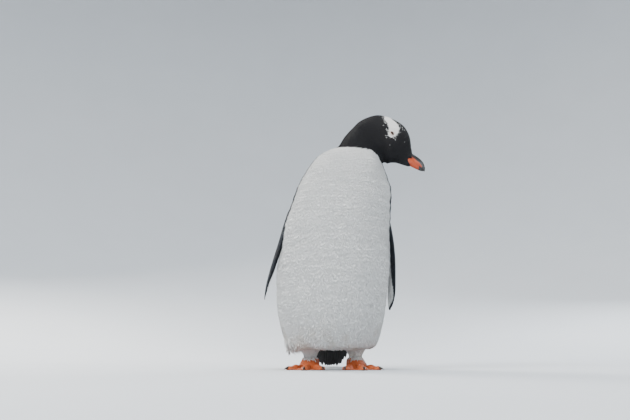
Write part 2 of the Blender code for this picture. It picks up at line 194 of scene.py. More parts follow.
def read(grid, row, column):
    """The grid's values at fractional rows and columns, by straight mixing of the four nearest."""
    row = np.clip(row, 0, grid.shape[0] - 1.001)
    i = row.astype(int)
    j = np.floor(column).astype(int)
    r = (row - i)[..., None]
    c = (column - j)[..., None]
    j = j % grid.shape[1]
    k = (j + 1) % grid.shape[1]
    low = grid[i, j] * (1 - c) + grid[i, k] * c
    high = grid[i + 1, j] * (1 - c) + grid[i + 1, k] * c
    return low * (1 - r) + high * r


# --- meshes and pieces


def turns(column, columns):
    """The angle round a ring at a column, of so many columns in all."""
    return column * 2 * math.pi / columns


def grid_faces(rows, columns):
    """Four corners of each cell of a grid that wraps round, numbered row by row."""
    j = np.arange(columns)
    k = (j + 1) % columns
    i = np.arange(rows - 1)[:, None] * columns
    return np.stack([i + j, i + k, i + columns + k, i + columns + j], axis=-1).reshape(-1, 4)


def fill_mesh(name, points, faces, marks=None):
    """A mesh from points in millimetres and arrays of faces with three or four corners each. Marks
    are values for each point, kept as named attributes."""
    mesh = bpy.data.meshes.new(name)
    sizes = np.concatenate([np.full(len(part), part.shape[1]) for part in faces])
    corners = np.concatenate([part.ravel() for part in faces])
    mesh.vertices.add(len(points))
    mesh.vertices.foreach_set("co", (points * MM).astype(np.float32).ravel())
    mesh.loops.add(len(corners))
    mesh.loops.foreach_set("vertex_index", corners.astype(np.int32))
    mesh.polygons.add(len(sizes))
    mesh.polygons.foreach_set("loop_start", (np.cumsum(sizes) - sizes).astype(np.int32))
    mesh.update(calc_edges=True)
    for key, values in (marks or {}).items():
        kind = "FLOAT_VECTOR" if values.ndim == 2 else "FLOAT"
        layer = mesh.attributes.new(key, kind, "POINT")
        field = "vector" if values.ndim == 2 else "value"
        layer.data.foreach_set(field, values.astype(np.float32).ravel())
    mesh.shade_smooth()
    return mesh


def closed_grid(name, grid, marks=None):
    """A closed mesh from a grid that wraps round: its cells, and a fan to a middle point at each
    end."""
    rows, columns, _ = grid.shape
    flat = grid.reshape(-1, 3)
    first = grid[0].mean(axis=0)
    last = grid[-1].mean(axis=0)
    points = np.vstack([flat, first, last])
    j = np.arange(columns)
    k = (j + 1) % columns
    top = (rows - 1) * columns
    start = np.stack([k, j, np.full(columns, len(flat))], axis=-1)
    end = np.stack([top + j, top + k, np.full(columns, len(flat) + 1)], axis=-1)
    faces = facing_out(points, [grid_faces(rows, columns), start, end])
    filled = {}
    for key, values in (marks or {}).items():
        flat_values = values.reshape(len(flat), -1)
        ends = [rim.reshape(columns, -1).mean(axis=0) for rim in (values[0], values[-1])]
        filled[key] = np.vstack([flat_values, *ends]).squeeze()
    return fill_mesh(name, points, faces, filled)


def facing_out(points, faces):
    """The faces of a closed shell, all turned round if its volume comes out negative: the sum of
    a . (b x c) over its triangles is six times the volume."""
    fans = [part[:, [0, k, k + 1]] for part in faces for k in range(1, part.shape[1] - 1)]
    triangles = np.concatenate(fans)
    a, b, c = (points[triangles[:, k]] for k in range(3))
    if np.einsum("ij,ij->i", a, np.cross(b, c)).sum() < 0:
        return [part[:, ::-1] for part in faces]
    return faces


def add_piece(name, mesh, material, slot, replaces=()):
    """Links a finished mesh as a piece of the bird."""
    mesh.materials.append(material)
    piece = bpy.data.objects.new(name, mesh)
    bpy.context.scene.collection.objects.link(piece)
    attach(piece, "root")
    if replaces:
        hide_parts(*replaces)
    return piece


# --- the body's surface


def body_rows():
    """All sections from the belly to the face. The neck and head fan out round the throat like the
    leaves of a book, and the last section is square to the bill."""
    rows = [list(row) for row in TRUNK_ROWS]
    for angle, length, half in LEAVES:
        way = np.array([math.cos(math.radians(angle)), math.sin(math.radians(angle))])
        near = THROAT + THROAT_RADIUS * way
        far = THROAT + length * way
        rows.append([*near, *far, HEAD_Y - half, HEAD_Y + half])
    for chin_x, chin_z, brow_x, brow_z, half in FACE_ROWS:
        rows.append([chin_x, chin_z, brow_x, brow_z, HEAD_Y - half, HEAD_Y + half])
    tall, half = FACE_END
    over = tall * math.sin(BILL_TILT)
    up = tall * math.cos(BILL_TILT)
    x, _, z = BILL
    rows.append([x - over, z - up, x + over, z + up, HEAD_Y - half, HEAD_Y + half])
    return rows


BODY_ROWS = np.array(body_rows())
LAST_PLACE = len(BODY_ROWS) - 1


def body_section(place, angle, inset):
    """Points of plane sections: middle + radius * (side cos + depth sin), where radius(angle) is
    that of the superellipse |cos / half_side|^n + |sin / half_depth|^n = 1, less the inset."""
    near_x, near_z, far_x, far_z, front, back = np.moveaxis(through(BODY_ROWS, place), -1, 0)
    middle = np.stack([(near_x + far_x) / 2, (front + back) / 2, (near_z + far_z) / 2], axis=-1)
    side = np.stack([near_x - far_x, np.zeros_like(near_x), near_z - far_z], axis=-1)
    half_side = np.linalg.norm(side, axis=-1) / 2
    side = unit(side)
    c = np.cos(angle)
    s = np.sin(angle)
    rump = RUMP_ROUND + (BACK_ROUND - RUMP_ROUND) * np.clip(place / RUMP_TOP, 0, 1)
    power = np.where(s < 0, FRONT_ROUND, rump)
    across = (np.abs(c) / (half_side - inset)) ** power
    along = (np.abs(s) / ((back - front) / 2 - inset)) ** power
    radius = ((across + along) ** (-1 / power))[..., None]
    return middle + radius * (c[..., None] * side + s[..., None] * np.array([0.0, 1.0, 0.0]))


def hill(points, centre, radii):
    """A soft bump of height 1: exp(-d^2), with d the distance in units of the radii."""
    return np.exp(-(((points - np.asarray(centre)) / np.asarray(radii)) ** 2).sum(axis=-1))


# Height, centre and radii of the soft bumps on each side of the head: the brow over the eye, the
# hollow round it, the full cheek behind and below it, and the flat lores in front.
HEAD_SIDE = HEAD_Y - 31
FACE_BUMPS = (
    (1.8, (103, HEAD_SIDE + 4, 511), (15, 9, 6)),
    (-0.7, (100.5, HEAD_SIDE, 498), (8.5, 9, 8.5)),
    (1.6, (96, HEAD_SIDE, 474), (19, 12, 15)),
    (-1.6, (122, HEAD_SIDE + 10, 484), (11, 12, 9)),
)
FOLD_SPACING = 21
FOLD_HEIGHT = 0.55
RUMP_SWELL = 6.0
RUMP_CENTRE = (STANCE_X, 76, 96)
RUMP_RADII = (52, 42, 34)


def face_relief(points):
    """Height over the plain head, the same on both sides: the sum of FACE_BUMPS."""
    mirrored = points.copy()
    mirrored[..., 1] = HEAD_Y - np.abs(points[..., 1] - HEAD_Y)
    return sum(height * hill(mirrored, centre, radii) for height, centre, radii in FACE_BUMPS)


def body_relief(points):
    """Height over the plain trunk: long low folds of loose plumage that run round the breast and
    belly, softer mounds of all sizes, and the rump's swelling over the root of the tail."""
    folds = np.sin(turns(points[..., 2], FOLD_SPACING) + 2.2 * waves(points, 150, 3))
    breast = smooth(60, 130, points[..., 2]) * (1 - smooth(395, 440, points[..., 2]))
    front = smooth(-10, -70, points[..., 1])
    mounds = 1.1 * waves(points, 90, 4) + 0.5 * waves(points, 38, 5)
    trunk = 1 - smooth(440, 470, points[..., 2])
    rump = RUMP_SWELL * hill(points, RUMP_CENTRE, RUMP_RADII)
    return FOLD_HEIGHT * folds * breast * front + mounds * trunk + rump


UNDER_ROWS = 24
BODY_STEPS = 420
BODY_COLUMNS = 256
END_ROWS = 8
UNDER_ARCH = 4.0
RIM_SHRINK = 0.20
RIM_FORWARD = 1.6
# How far the face's feathers run forward along the bill on each side and under the chin, the
# cosine round the face where each wedge is longest, and its spread in cosine.
FACE_WEDGES = ((6.0, -0.22, 0.30), (13.0, 1, 0.22))
WEDGE_PLACES = 1.3


def body_grid():
    """The skin of the trunk, neck and head as one grid, with the place of each row: the belly's
    underside, which draws in to its middle under a shallow arch, then the sections, then the rim of
    the face, which rolls in round the bill and runs forward along it in a wedge on each side and
    one under the chin."""
    angle = turns(np.arange(BODY_COLUMNS), BODY_COLUMNS)
    place = np.linspace(0, LAST_PLACE, BODY_STEPS)
    inset = np.interp(place, COAT_PLACES, COAT_DEPTH)
    grid = body_section(place[:, None], angle[None, :], inset[:, None])
    lift = np.array([0.0, 0.0, 1.0]) * (COAT_DEPTH[0] * (1 - smooth(0, 1.2, place)))[:, None, None]
    grid = grid + lift
    shrink = np.linspace(0.02, 0.985, UNDER_ROWS)[:, None, None]
    middle = grid[0].mean(axis=0)
    under = middle + (grid[0] - middle) * shrink + np.array([0, 0, UNDER_ARCH]) * (1 - shrink**2)
    forward = np.array([math.cos(BILL_TILT), 0.0, -math.sin(BILL_TILT)])
    turn = np.linspace(0, math.pi / 2, END_ROWS + 1)[1:, None, None]
    centre = grid[-1].mean(axis=0)
    rolled = 1 - RIM_SHRINK + RIM_SHRINK * np.cos(turn)
    rim = centre + (grid[-1] - centre) * rolled + RIM_FORWARD * np.sin(turn) * forward
    grid = np.concatenate([under, grid, rim])
    below = np.linspace(-1, 0, UNDER_ROWS, endpoint=False)
    places = np.concatenate([below, place, np.full(END_ROWS, LAST_PLACE)])
    wedge = 0
    for reach, middle, spread in FACE_WEDGES:
        wedge = wedge + reach * np.exp(-(((np.cos(angle) - middle) / spread) ** 2))
    near_bill = smooth(LAST_PLACE - WEDGE_PLACES, LAST_PLACE, places)
    grid = grid + (near_bill[:, None] * wedge)[..., None] * forward
    height = face_relief(grid) + body_relief(grid)
    height[:UNDER_ROWS] *= np.linspace(0, 1, UNDER_ROWS)[:, None]
    return grid + height[..., None] * grid_normals(grid), places


# --- feathers

VANE_SHARES = np.array([0.0, 0.62])
VANE_WIDTHS = np.array([0.6, 1.0])
VANE_CROWN = 0.11
PATCH = 0.003
MOST_VANES = 18000

# The corners of one vane: two sections of left edge, right edge and ridge, then the tip. Ridge
# shares lie a little behind the edges so that every face has a width on the bake map.
VANE_ACROSS = np.array([0.0, 1.0, 0.5, 0.0, 1.0, 0.5, 0.5])
VANE_ALONG = np.array([0, 0, -0.12, 0.62, 0.62, 0.54, 1.0])
VANE_FACES = np.array(
    [[0, 2, 1]]
    + [face for a, b in ((0, 2), (2, 1), (1, 0)) for face in ([a, b, 3 + b], [a, 3 + b, 3 + a])]
    + [[3, 5, 6], [5, 4, 6], [4, 3, 6]]
)
VANE_POINTS = len(VANE_ALONG)
RISE_POWER = 1.15
LEAST_SPREAD = 0.25
STIFF_RISE = 0.6
STRAIGHT_LOOK = 3.0
# The inverse of the plastic number and its square, whose multiples fill a square evenly.
EVEN_STEPS = (0.7548776662466927, 0.5698402909980532)


class Coat:
    """A grid of skin with what feathers need: normals, arc lengths along its columns, and cell
    areas."""

    def __init__(self, grid, outward=1):
        self.grid = grid
        self.normals = grid_normals(grid, outward)
        steps = np.linalg.norm(np.diff(grid, axis=0), axis=-1)
        self.arc = np.vstack([np.zeros(grid.shape[1]), np.cumsum(steps, axis=0)])
        around = np.linalg.norm(np.roll(grid, -1, axis=1) - grid, axis=-1)
        self.across = np.maximum(around, 1e-3)
        self.areas = 0.5 * (around[1:] + around[:-1]) * steps

    def scatter(self, spacing, keep):
        """Roots spread evenly for a wanted area each: an additive recurrence fills the unit square,
        and running sums of cell area over wanted area carry it to rows and columns. It gives back
        rows, columns and the even square's own two shares, which are an unwrap of the skin."""
        weight = self.areas / (0.5 * (spacing[1:] + spacing[:-1])) * keep
        rows, columns = weight.shape
        count = int(weight.sum())
        k = np.arange(count)
        share_row = (0.5 + k * EVEN_STEPS[0]) % 1.0
        share_column = (0.5 + k * EVEN_STEPS[1]) % 1.0
        by_row = np.concatenate([[0.0], np.cumsum(weight.sum(axis=1))])
        row = np.interp(share_row * by_row[-1], by_row, np.arange(rows + 1))
        i = np.minimum(row.astype(int), rows - 1)
        sums = np.cumsum(weight, axis=1)
        sums = sums / np.maximum(sums[:, -1:], 1e-9)
        flat = (sums + np.arange(rows)[:, None]).ravel()
        found = np.minimum(np.searchsorted(flat, i + share_column), flat.size - 1)
        j = found - i * columns
        before = np.where(j > 0, flat[found - 1], i)
        part = (i + share_column - before) / np.maximum(flat[found] - before, 1e-9)
        return row, j + np.clip(part, 0, 1), np.stack([share_column, share_row], axis=-1)

    def back(self, row, column, distance):
        """The row that lies a distance nearer row 0, measured along the column."""
        j = np.round(column).astype(int) % self.grid.shape[1]
        here = read(self.arc[..., None], row, column)[..., 0]
        reach = self.arc[-1].max() * 1.01
        flat = (self.arc / reach + np.arange(self.grid.shape[1])).T.ravel()
        aim = np.clip(here - distance, 0, None)
        # A little under a whole step keeps the search inside the column.
        found = np.searchsorted(flat, aim / reach + j, side="right")
        rows = self.grid.shape[0]
        i = np.clip(found - j * rows - 1, 0, rows - 2)
        low = self.arc[i, j]
        high = self.arc[i + 1, j]
        return i + np.clip((aim - low) / np.maximum(high - low, 1e-9), 0, 1)


def lay_vanes(coat, row, column, width, length, rise, sway, sink=0.15, stiff=None, pull=0):
    """Points of every vane [vane, corner, xyz]. The mid-line follows the skin from its root towards
    row 0, swayed sideways, while its height grows with the share of its length. A stiff vane runs
    that much straight on from its root instead, in a direction that the pull is added to. Each
    section is a shallow triangle: two edges and a ridge a little over them."""
    shares = np.append(VANE_SHARES, 1.0)
    spots = []
    normals = []
    for share in shares:
        at_row = coat.back(row, column, length * share)
        spread = read(coat.across[..., None], at_row, column)[..., 0]
        at_column = column + sway * length * share / np.maximum(spread, LEAST_SPREAD)
        normal = unit(read(coat.normals, at_row, at_column))
        height = rise * share**RISE_POWER - sink
        spots.append(read(coat.grid, at_row, at_column) + normal * height[:, None])
        normals.append(normal)
    spots = np.stack(spots, axis=1)
    normals = np.stack(normals, axis=1)
    if stiff is not None:
        ahead_row = coat.back(row, column, STRAIGHT_LOOK)
        ahead = read(coat.grid, ahead_row, column) - read(coat.grid, row, column)
        straight = unit(unit(ahead) + pull)[:, None] * length[:, None, None] * shares[:, None]
        lift = (STIFF_RISE * rise[:, None] * shares)[..., None]
        straight = spots[:, :1] + straight + normals[:, :1] * lift
        spots = spots + stiff[:, None, None] * (straight - spots)
    way = np.gradient(spots, axis=1)
    side = unit(np.cross(way, normals))[:, :-1]
    half = 0.5 * width[:, None] * VANE_WIDTHS
    crown = VANE_CROWN * width[:, None] * VANE_WIDTHS
    middle = spots[:, :-1]
    left = middle - side * half[..., None]
    right = middle + side * half[..., None]
    ridge = middle + normals[:, :-1] * crown[..., None]
    body = np.stack([left, right, ridge], axis=2).reshape(len(row), VANE_POINTS - 1, 3)
    return np.concatenate([body, spots[:, -1:]], axis=1)


def vane_mesh(name, points, unwrap, marks):
    """Joined vanes as one mesh. On the bake map each vane is a small patch at its root's place on
    the unwrap. The map named Vane runs from 0 to 1 across and along each feather."""
    count = len(points)
    faces = (VANE_FACES[None] + VANE_POINTS * np.arange(count)[:, None, None]).reshape(-1, 3)
    along = np.tile(np.clip(VANE_ALONG, 0, 1), (count, 1))
    white, tone = (np.repeat(marks[:, k : k + 1], VANE_POINTS, axis=1) for k in range(2))
    plume = np.stack([white, along, tone], axis=-1)
    mesh = fill_mesh(name, points.reshape(-1, 3), [faces], {"plume": plume.reshape(-1, 3)})
    corner = np.tile(VANE_FACES.ravel(), count)
    root = np.repeat(unwrap, VANE_FACES.size, axis=0)
    own = np.stack([VANE_ACROSS[corner], VANE_ALONG[corner]], axis=-1)
    bake = mesh.uv_layers.new(name="OFBake")
    bake.data.foreach_set("uv", (root + PATCH * (own - 0.5)).astype(np.float32).ravel())
    vane = mesh.uv_layers.new(name="Vane")
    vane.data.foreach_set("uv", own.astype(np.float32).ravel())
    return mesh


def add_coat(name, points, shares, marks, material, slot):
    """Links vanes as pieces of at most MOST_VANES, each a run of the unwrap that fills its own
    square of the bake map."""
    pieces = max(1, math.ceil(len(points) / MOST_VANES))
    order = np.argsort(shares[:, 1], kind="stable")
    for number, chosen in enumerate(np.array_split(order, pieces)):
        low = shares[chosen].min(axis=0)
        high = shares[chosen].max(axis=0)
        unwrap = 0.01 + 0.98 * (shares[chosen] - low) / np.maximum(high - low, 1e-6)
        own = f"{name}_{number + 1}" if pieces > 1 else name
        add_piece(own, vane_mesh(own, points[chosen], unwrap, marks[chosen]), material, slot)


# --- markings

# The white patch over the eye in side view (x and z). Its upper end runs on over the crown to meet
# the patch of the other side.
EYE_PATCH = np.array(
    [(92, 562), (91, 545), (90.5, 534), (94, 524), (98, 515), (99, 508), (96.5, 501), (96.5, 493),
     (101, 487.5), (108, 488.5), (114.5, 495), (119, 503), (121, 511), (119, 519.5), (113.5, 527),
     (107, 535), (103, 546), (101.5, 562)], float
)

# How far round the front the dark back reaches, by place: 0 at the side and 1 at the middle of the
# front. It runs forward over the shoulder in front of the flipper's root.
FLANK_PLACES = (0, 1, 1.6, 2, 3, 4, 5.5, 6.2, 7.2, 9, 10.5, 12)
FLANK_FRONT = (-1.1, -1.1, -1.04, -0.86, -0.50, -0.27, -0.05, 0.16, 0.25, 0.24, 0.24, 0.30)
# The place of the hood's lower edge, from the nape side at -1 to the throat at 1.
HOOD_SIDES = (-1, -0.65, 0.05, 0.45, 0.75, 0.9, 1)
HOOD_PLACES = (11.8, 12.05, 12.65, 13.25, 13.35, 12.4, 11.2)


def patch_distance(points):
    """Signed distance to the patch's outline in side view, positive inside: the least distance to
    its edges, with the sign of a crossing count."""
    spot = points[..., None, [0, 2]]
    start = EYE_PATCH
    edge = np.roll(EYE_PATCH, -1, axis=0) - start
    share = np.clip(((spot - start) * edge).sum(-1) / (edge**2).sum(-1), 0, 1)
    least = np.linalg.norm(spot - start - share[..., None] * edge, axis=-1).min(axis=-1)
    end = start + edge
    x = spot[..., 0]
    z = spot[..., 1]
    spans = (start[:, 1] > z) != (end[:, 1] > z)
    rise = np.where(edge[:, 1] == 0, 1e-9, edge[:, 1])
    left = x < start[:, 0] + (z - start[:, 1]) * edge[:, 0] / rise
    inside = (spans & left).sum(axis=-1) % 2 == 1
    return np.where(inside, least, -least)


def body_white(points, place, angle):
    """How white the plumage is, from 0 to 1: the front below the hood's edge and between the
    flanks' edges, and the patches of the head."""
    front = -np.sin(angle)
    hood = np.interp(np.cos(angle), HOOD_SIDES, HOOD_PLACES)
    flank = np.interp(place, FLANK_PLACES, FLANK_FRONT)
    belly = smooth(-0.06, 0.06, hood - place) * smooth(-0.03, 0.03, front - flank)
    patch = smooth(-0.6, 0.6, patch_distance(points)) * (place > HEAD_PLACE - 1)
    return np.maximum(np.where(place < 0, 1.0, belly), patch)


# --- flippers

FLIPPER_STEPS = 150
FLIPPER_COLUMNS = 96
TIP_ROWS = 6


def flipper_grid(rows):
    """A flipper from its tip to inside the shoulder, with the place of each row: level ovals of
    x + thick/2 sin(1 - 0.3 cos) - lean chord/2 cos and y + chord/2 cos, carried up the mid-line, and
    a rounded end below the last one. The lean turns each flipper's hind edge to the bird's right."""
    angle = turns(np.arange(FLIPPER_COLUMNS), FLIPPER_COLUMNS)
    place = np.linspace(len(rows) - 1, 0, FLIPPER_STEPS)
    x, y, z, chord, thick, lean = (value[:, None] for value in through(rows, place).T)
    inset = np.minimum(0.9, 0.3 * thick)
    c = np.cos(angle)
    s = np.sin(angle)
    gx = x + (thick / 2 - inset) * s * (1 - 0.3 * c) - lean * (chord / 2 - inset) * c
    gy = y + (chord / 2 - inset) * c
    grid = np.stack([gx, gy, np.broadcast_to(z, gx.shape)], axis=-1)
    turn = np.linspace(math.pi / 2, 0, TIP_ROWS + 1)[:-1, None, None]
    middle = grid[0].mean(axis=0)
    end = middle + (grid[0] - middle) * np.cos(turn) - np.array([0, 0, 3.0]) * np.sin(turn)
    end[0] = middle + (grid[0] - middle) * 0.02 - np.array([0, 0, 3.0])
    grid = np.concatenate([end, grid])
    places = np.concatenate([np.full(TIP_ROWS, len(rows) - 1.0), place])
    return grid, places


def flipper_white(place, angle, outer):
    """Dark outside with a white hind edge, and white inside with a narrow dark front margin and a
    dark tip. Outer is true on the side that faces away from the body."""
    forward = -np.cos(angle)
    outside = smooth(-0.84, -0.92, forward) * smooth(1.7, 2.5, place)
    margin = smooth(-0.05, 0.05, forward - np.interp(place, (4.5, 5.8), (0.52, 0.84)))
    tip = smooth(6.6, 7.2, place + 0.5 * forward)
    return np.where(outer, outside, (1 - margin) * (1 - tip))


def beyond_body(points):
    """How far points stand out of the trunk: above 1 outside its coat. It is the superellipse's own
    sum at the section of the same height."""
    heights = np.array([row[1] for row in TRUNK_ROWS])
    place = np.interp(points[..., 2], heights, np.arange(len(heights)))
    near_x, _, far_x, _, front, back = np.moveaxis(through(BODY_ROWS, place), -1, 0)
    across = np.abs(points[..., 0] - (near_x + far_x) / 2) / ((near_x - far_x) / 2)
    along = np.abs(points[..., 1] - (front + back) / 2) / ((back - front) / 2)
    return across**FRONT_ROUND + along**FRONT_ROUND


def place_of(places, row):
    """The place along the body or limb at fractional rows."""
    return read(places[:, None, None] + np.zeros((1, 2, 1)), row, 0 * row)[:, 0]


def add_flipper_coat(name, rows, out_x, material):
    """Small scale-like feathers all over one flipper."""
    grid, places = flipper_grid(rows)
    coat = Coat(grid, -1)
    width = np.interp(places, (0, 3, 8), (2.7, 2.1, 1.5))[:, None] + np.zeros(grid.shape[1])
    length = width * 2.3
    keep = np.where(beyond_body(grid) > 0.93, 1.0, 0.0)[:-1]
    row, column, shares = coat.scatter(width * length * 0.27, keep)
    count = len(row)
    row = row + rng.uniform(-0.5, 0.5, count)
    column = column + rng.uniform(-0.3, 0.3, count)
    root = read(grid, row, column)
    place = place_of(places, row)
    angle = turns(column, FLIPPER_COLUMNS)
    wide = read(width[..., None], row, column)[:, 0] * rng.uniform(0.85, 1.15, count)
    long = wide * rng.uniform(2.0, 2.6, count)
    rise = np.full(count, 0.45) * rng.uniform(0.6, 1.3, count)
    sway = 0.12 * waves(root, 40, 31) + rng.normal(0, 0.05, count)
    points = lay_vanes(coat, row, column, wide, long, rise, sway, 0.1)
    outer = np.sin(angle) * out_x > 0
    near_place = place + rng.normal(0, 0.05, count)
    white = flipper_white(near_place, angle + rng.normal(0, 0.03, count), outer)
    marks = np.stack([np.where(white > 0.5, 1.0, 0.0), rng.uniform(0, 1, count)], axis=-1)
    add_coat(name, points, shares, marks, material, "flipper_feathers")


# --- legs and feet

FOOT_COLUMNS = 200
SOLE_ROWS = 10
TOP_ROWS = 64
SHANK_ROWS = 22
HEEL_REACH = 16.0
HIND_HALF_WIDTH = 4.8
WEB_REACH = 69.0
WEB_SCOOP = 7.0
WEB_HEIGHT = 2.5
WEB_FOLDS = 46
TOE_HEIGHT = 9.6
TOE_DROP = 2.6
TOE_JOINTS = 3.1
SCUTE_SPACING = 3.3
SCUTE_HEIGHT = 0.24
ANKLE_RADIUS = 12.0
ANKLE_SLOPE = 27.0
SOLE_ROUND = 2.6
# How much wider than the ankle the shank ends, across and from front to back, and how far up and
# back it goes.
SHANK_GROWTH = (11.0, 16.0)
SHANK_HEIGHT = 34.0
SHANK_BACK = 6.0
# The share of the way up the shank at which its feathers begin on the skin.
FEATHER_LINE = 1.15
LEG_COAT_AREA = 3.0
LEG_COAT_WIDTHS = (1.8, 2.6)
LEG_COAT_LENGTHS = (6.0, 8.5)
LEG_COAT_RISES = (0.9, 1.9)


def toe_list(outward):
    """Angle and length of the three front toes and the hind toe, about the ankle."""
    angles = [outward * (math.radians(angle) + TOE_OUT) for angle in (*TOE_ANGLES, HALLUX_ANGLE)]
    return list(zip(angles, (*TOE_LENGTHS, HALLUX_LENGTH)))


def between(angle, other):
    """The signed turn from one angle to another, from -pi to pi."""
    return np.arctan2(np.sin(angle - other), np.cos(angle - other))


def toe_reach(offset, length, half_width):
    """How far a round-ended toe reaches from the ankle, at an angle off its own line."""
    off = np.abs(between(offset, 0))
    lateral = length * np.sin(off)
    end = length * np.cos(off) + np.sqrt(np.maximum(half_width**2 - lateral**2, 0))
    side = half_width / np.maximum(np.sin(off), 1e-6)
    meets = (length * np.tan(np.minimum(off, 1.5)) > half_width) | (off > 1.5)
    return np.where(off > math.pi / 2, half_width, np.where(meets, side, end))


def foot_edge(angle, outward):
    """The foot's reach from the ankle at each angle: its toes, the scooped webs and the heel."""
    digits = toe_list(outward)
    reach = np.full(angle.shape, HEEL_REACH)
    for toe, length in digits[:3]:
        toe_end = toe_reach(angle - toe, length - TOE_HALF_WIDTH, TOE_HALF_WIDTH - 0.4)
        reach = np.maximum(reach, toe_end)
    hind, hind_length = digits[3]
    reach = np.maximum(reach, toe_reach(angle - hind, hind_length, HIND_HALF_WIDTH))
    first, middle, last = (toe for toe, _ in digits[:3])
    inside = (angle > min(first, last)) & (angle < max(first, last))
    spread = abs(middle - first) / 2
    scoop = np.minimum(np.abs(angle - (first + middle) / 2), np.abs(angle - (last + middle) / 2))
    web = WEB_REACH - WEB_SCOOP * np.cos(np.minimum(scoop / spread, 1) * math.pi / 2)
    return np.where(inside, np.maximum(reach, web), reach)


def foot_top(angle, distance, outward):
    """Height of the foot over the floor: thin webs with fine folds, toes with a swelling at each
    joint and a drop to the claw, and the mound of the ankle."""
    folds = 0.28 * np.sin(angle * WEB_FOLDS) * smooth(20, 45, distance)
    height = WEB_HEIGHT + folds
    for toe, length in toe_list(outward):
        off = between(angle, toe)
        aside = distance * np.abs(np.sin(off)) + 40 * (np.abs(off) > math.pi / 2)
        share = distance / length
        joints = np.cos(share * 2 * math.pi * TOE_JOINTS) * smooth(0.2, 0.4, share)
        half = TOE_HALF_WIDTH * (0.86 + 0.07 * joints)
        top = TOE_HEIGHT + 0.9 * joints - TOE_DROP * smooth(0.55, 1.0, share)
        ridge = np.clip(1 - (aside / half) ** 2, 0, 1) ** 0.6
        end = np.clip((length - distance) / 6.0, 0, 1) ** 0.5
        scutes = SCUTE_HEIGHT * np.abs(np.cos(distance * math.pi / SCUTE_SPACING)) * ridge
        height = np.maximum(height, WEB_HEIGHT + (top - WEB_HEIGHT) * ridge * end + scutes)
    mound = np.clip((distance - ANKLE_RADIUS) / ANKLE_SLOPE, 0, 1)
    swell = 0.5 + 0.5 * np.cos(math.pi * mound)
    return np.maximum(height, WEB_HEIGHT + (ANKLE_Z - WEB_HEIGHT) * swell * (mound < 1))


def foot_grid(outward):
    """One shank and foot as a grid whose rows run from the middle of the sole out to the foot's
    edge, back over the toes to the ankle and up the shank, with the row's kind: 0 sole, 1 foot, and
    from 1 to 2 up the shank."""
    x = STANCE_X + outward * STANCE_HALF
    turn = np.arange(FOOT_COLUMNS) / FOOT_COLUMNS * 2 * math.pi - math.pi
    angle = outward * TOE_OUT + turn - 0.72 * np.sin(turn)
    edge = foot_edge(angle, outward)
    way = np.stack([np.sin(angle), -np.cos(angle), np.zeros(FOOT_COLUMNS)], axis=-1)
    rise = np.array([0.0, 0.0, 1.0])
    ankle = np.array([x, ANKLE_Y, 0.0])
    rim_height = foot_top(angle, edge - 1.0, outward)
    pad = np.minimum(SOLE_ROUND, 0.45 * rim_height)
    share = np.linspace(0.04, 1, SOLE_ROWS)[:, None, None]
    sole = ankle + way * (edge - pad)[:, None] * share
    roll = np.linspace(0, math.pi / 2, 5)[1:, None]
    rim = ankle + way * (edge - pad + pad * np.sin(roll))[..., None]
    rim = rim + rise * (pad * (1 - np.cos(roll)))[..., None]
    climb = np.linspace(0, 1, 5)[1:-1, None]
    wall = ankle + way * (edge - 1.2 * climb**2)[..., None]
    wall = wall + rise * (pad + (rim_height - pad) * climb)[..., None]
    out = np.linspace(1, 0, TOP_ROWS)[:, None]
    distance = ANKLE_RADIUS * (1 - out) + (edge - 1.2) * out
    height = foot_top(angle[None, :], distance, outward)
    top = ankle + way * distance[..., None] + rise * height[..., None]
    up = np.linspace(0, 1, SHANK_ROWS + 1)[1:, None]
    radius_x, radius_y = (ANKLE_RADIUS + growth * smooth(0.0, 0.8, up) for growth in SHANK_GROWTH)
    shank = ankle + way * np.stack([radius_x, radius_y, 0 * up], axis=-1)
    climbing = rise * (ANKLE_Z + up * SHANK_HEIGHT)[..., None]
    shank = shank + climbing + np.array([0, SHANK_BACK, 0]) * up[..., None]
    kinds = np.concatenate([np.zeros(SOLE_ROWS + 2), np.ones(TOP_ROWS + 5), 1 + up[:, 0]])
    return np.concatenate([sole, rim, wall, top, shank]), kinds


def add_leg_coat(name, outward, material):
    """Short feathers down the shank, which end in a loose edge over the top of the foot."""
    grid, kinds = foot_grid(outward)
    coat = Coat(grid, 1)
    keep = np.where((kinds > 1.0) & (kinds < 1.75), 1.0, 0.0)
    first = int(np.argmax(kinds > 1.0))
    keep[first - 7 : first] = 1.0
    keep = keep[:-1, None] + np.zeros(grid.shape[1])
    row, column, shares = coat.scatter(np.full(grid.shape[:2], LEG_COAT_AREA), keep)
    count = len(row)
    width = rng.uniform(*LEG_COAT_WIDTHS, count)
    length = rng.uniform(*LEG_COAT_LENGTHS, count)
    rise = rng.uniform(*LEG_COAT_RISES, count)
    sway = rng.normal(0, 0.12, count)
    points = lay_vanes(coat, row, column, width, length, rise, sway)
    marks = np.stack([np.ones(count), rng.uniform(0, 1, count)], axis=-1)
    add_coat(name, points, shares, marks, material, "white_feathers")


CLAW_ROWS = 28
CLAW_COLUMNS = 20
CLAW_OVERLAP = 6.0
CLAW_HEIGHT = 4.6
CLAW_BEND = 3.2
CLAW_NARROW = 0.86
CLAW_CLEARANCE = 0.15


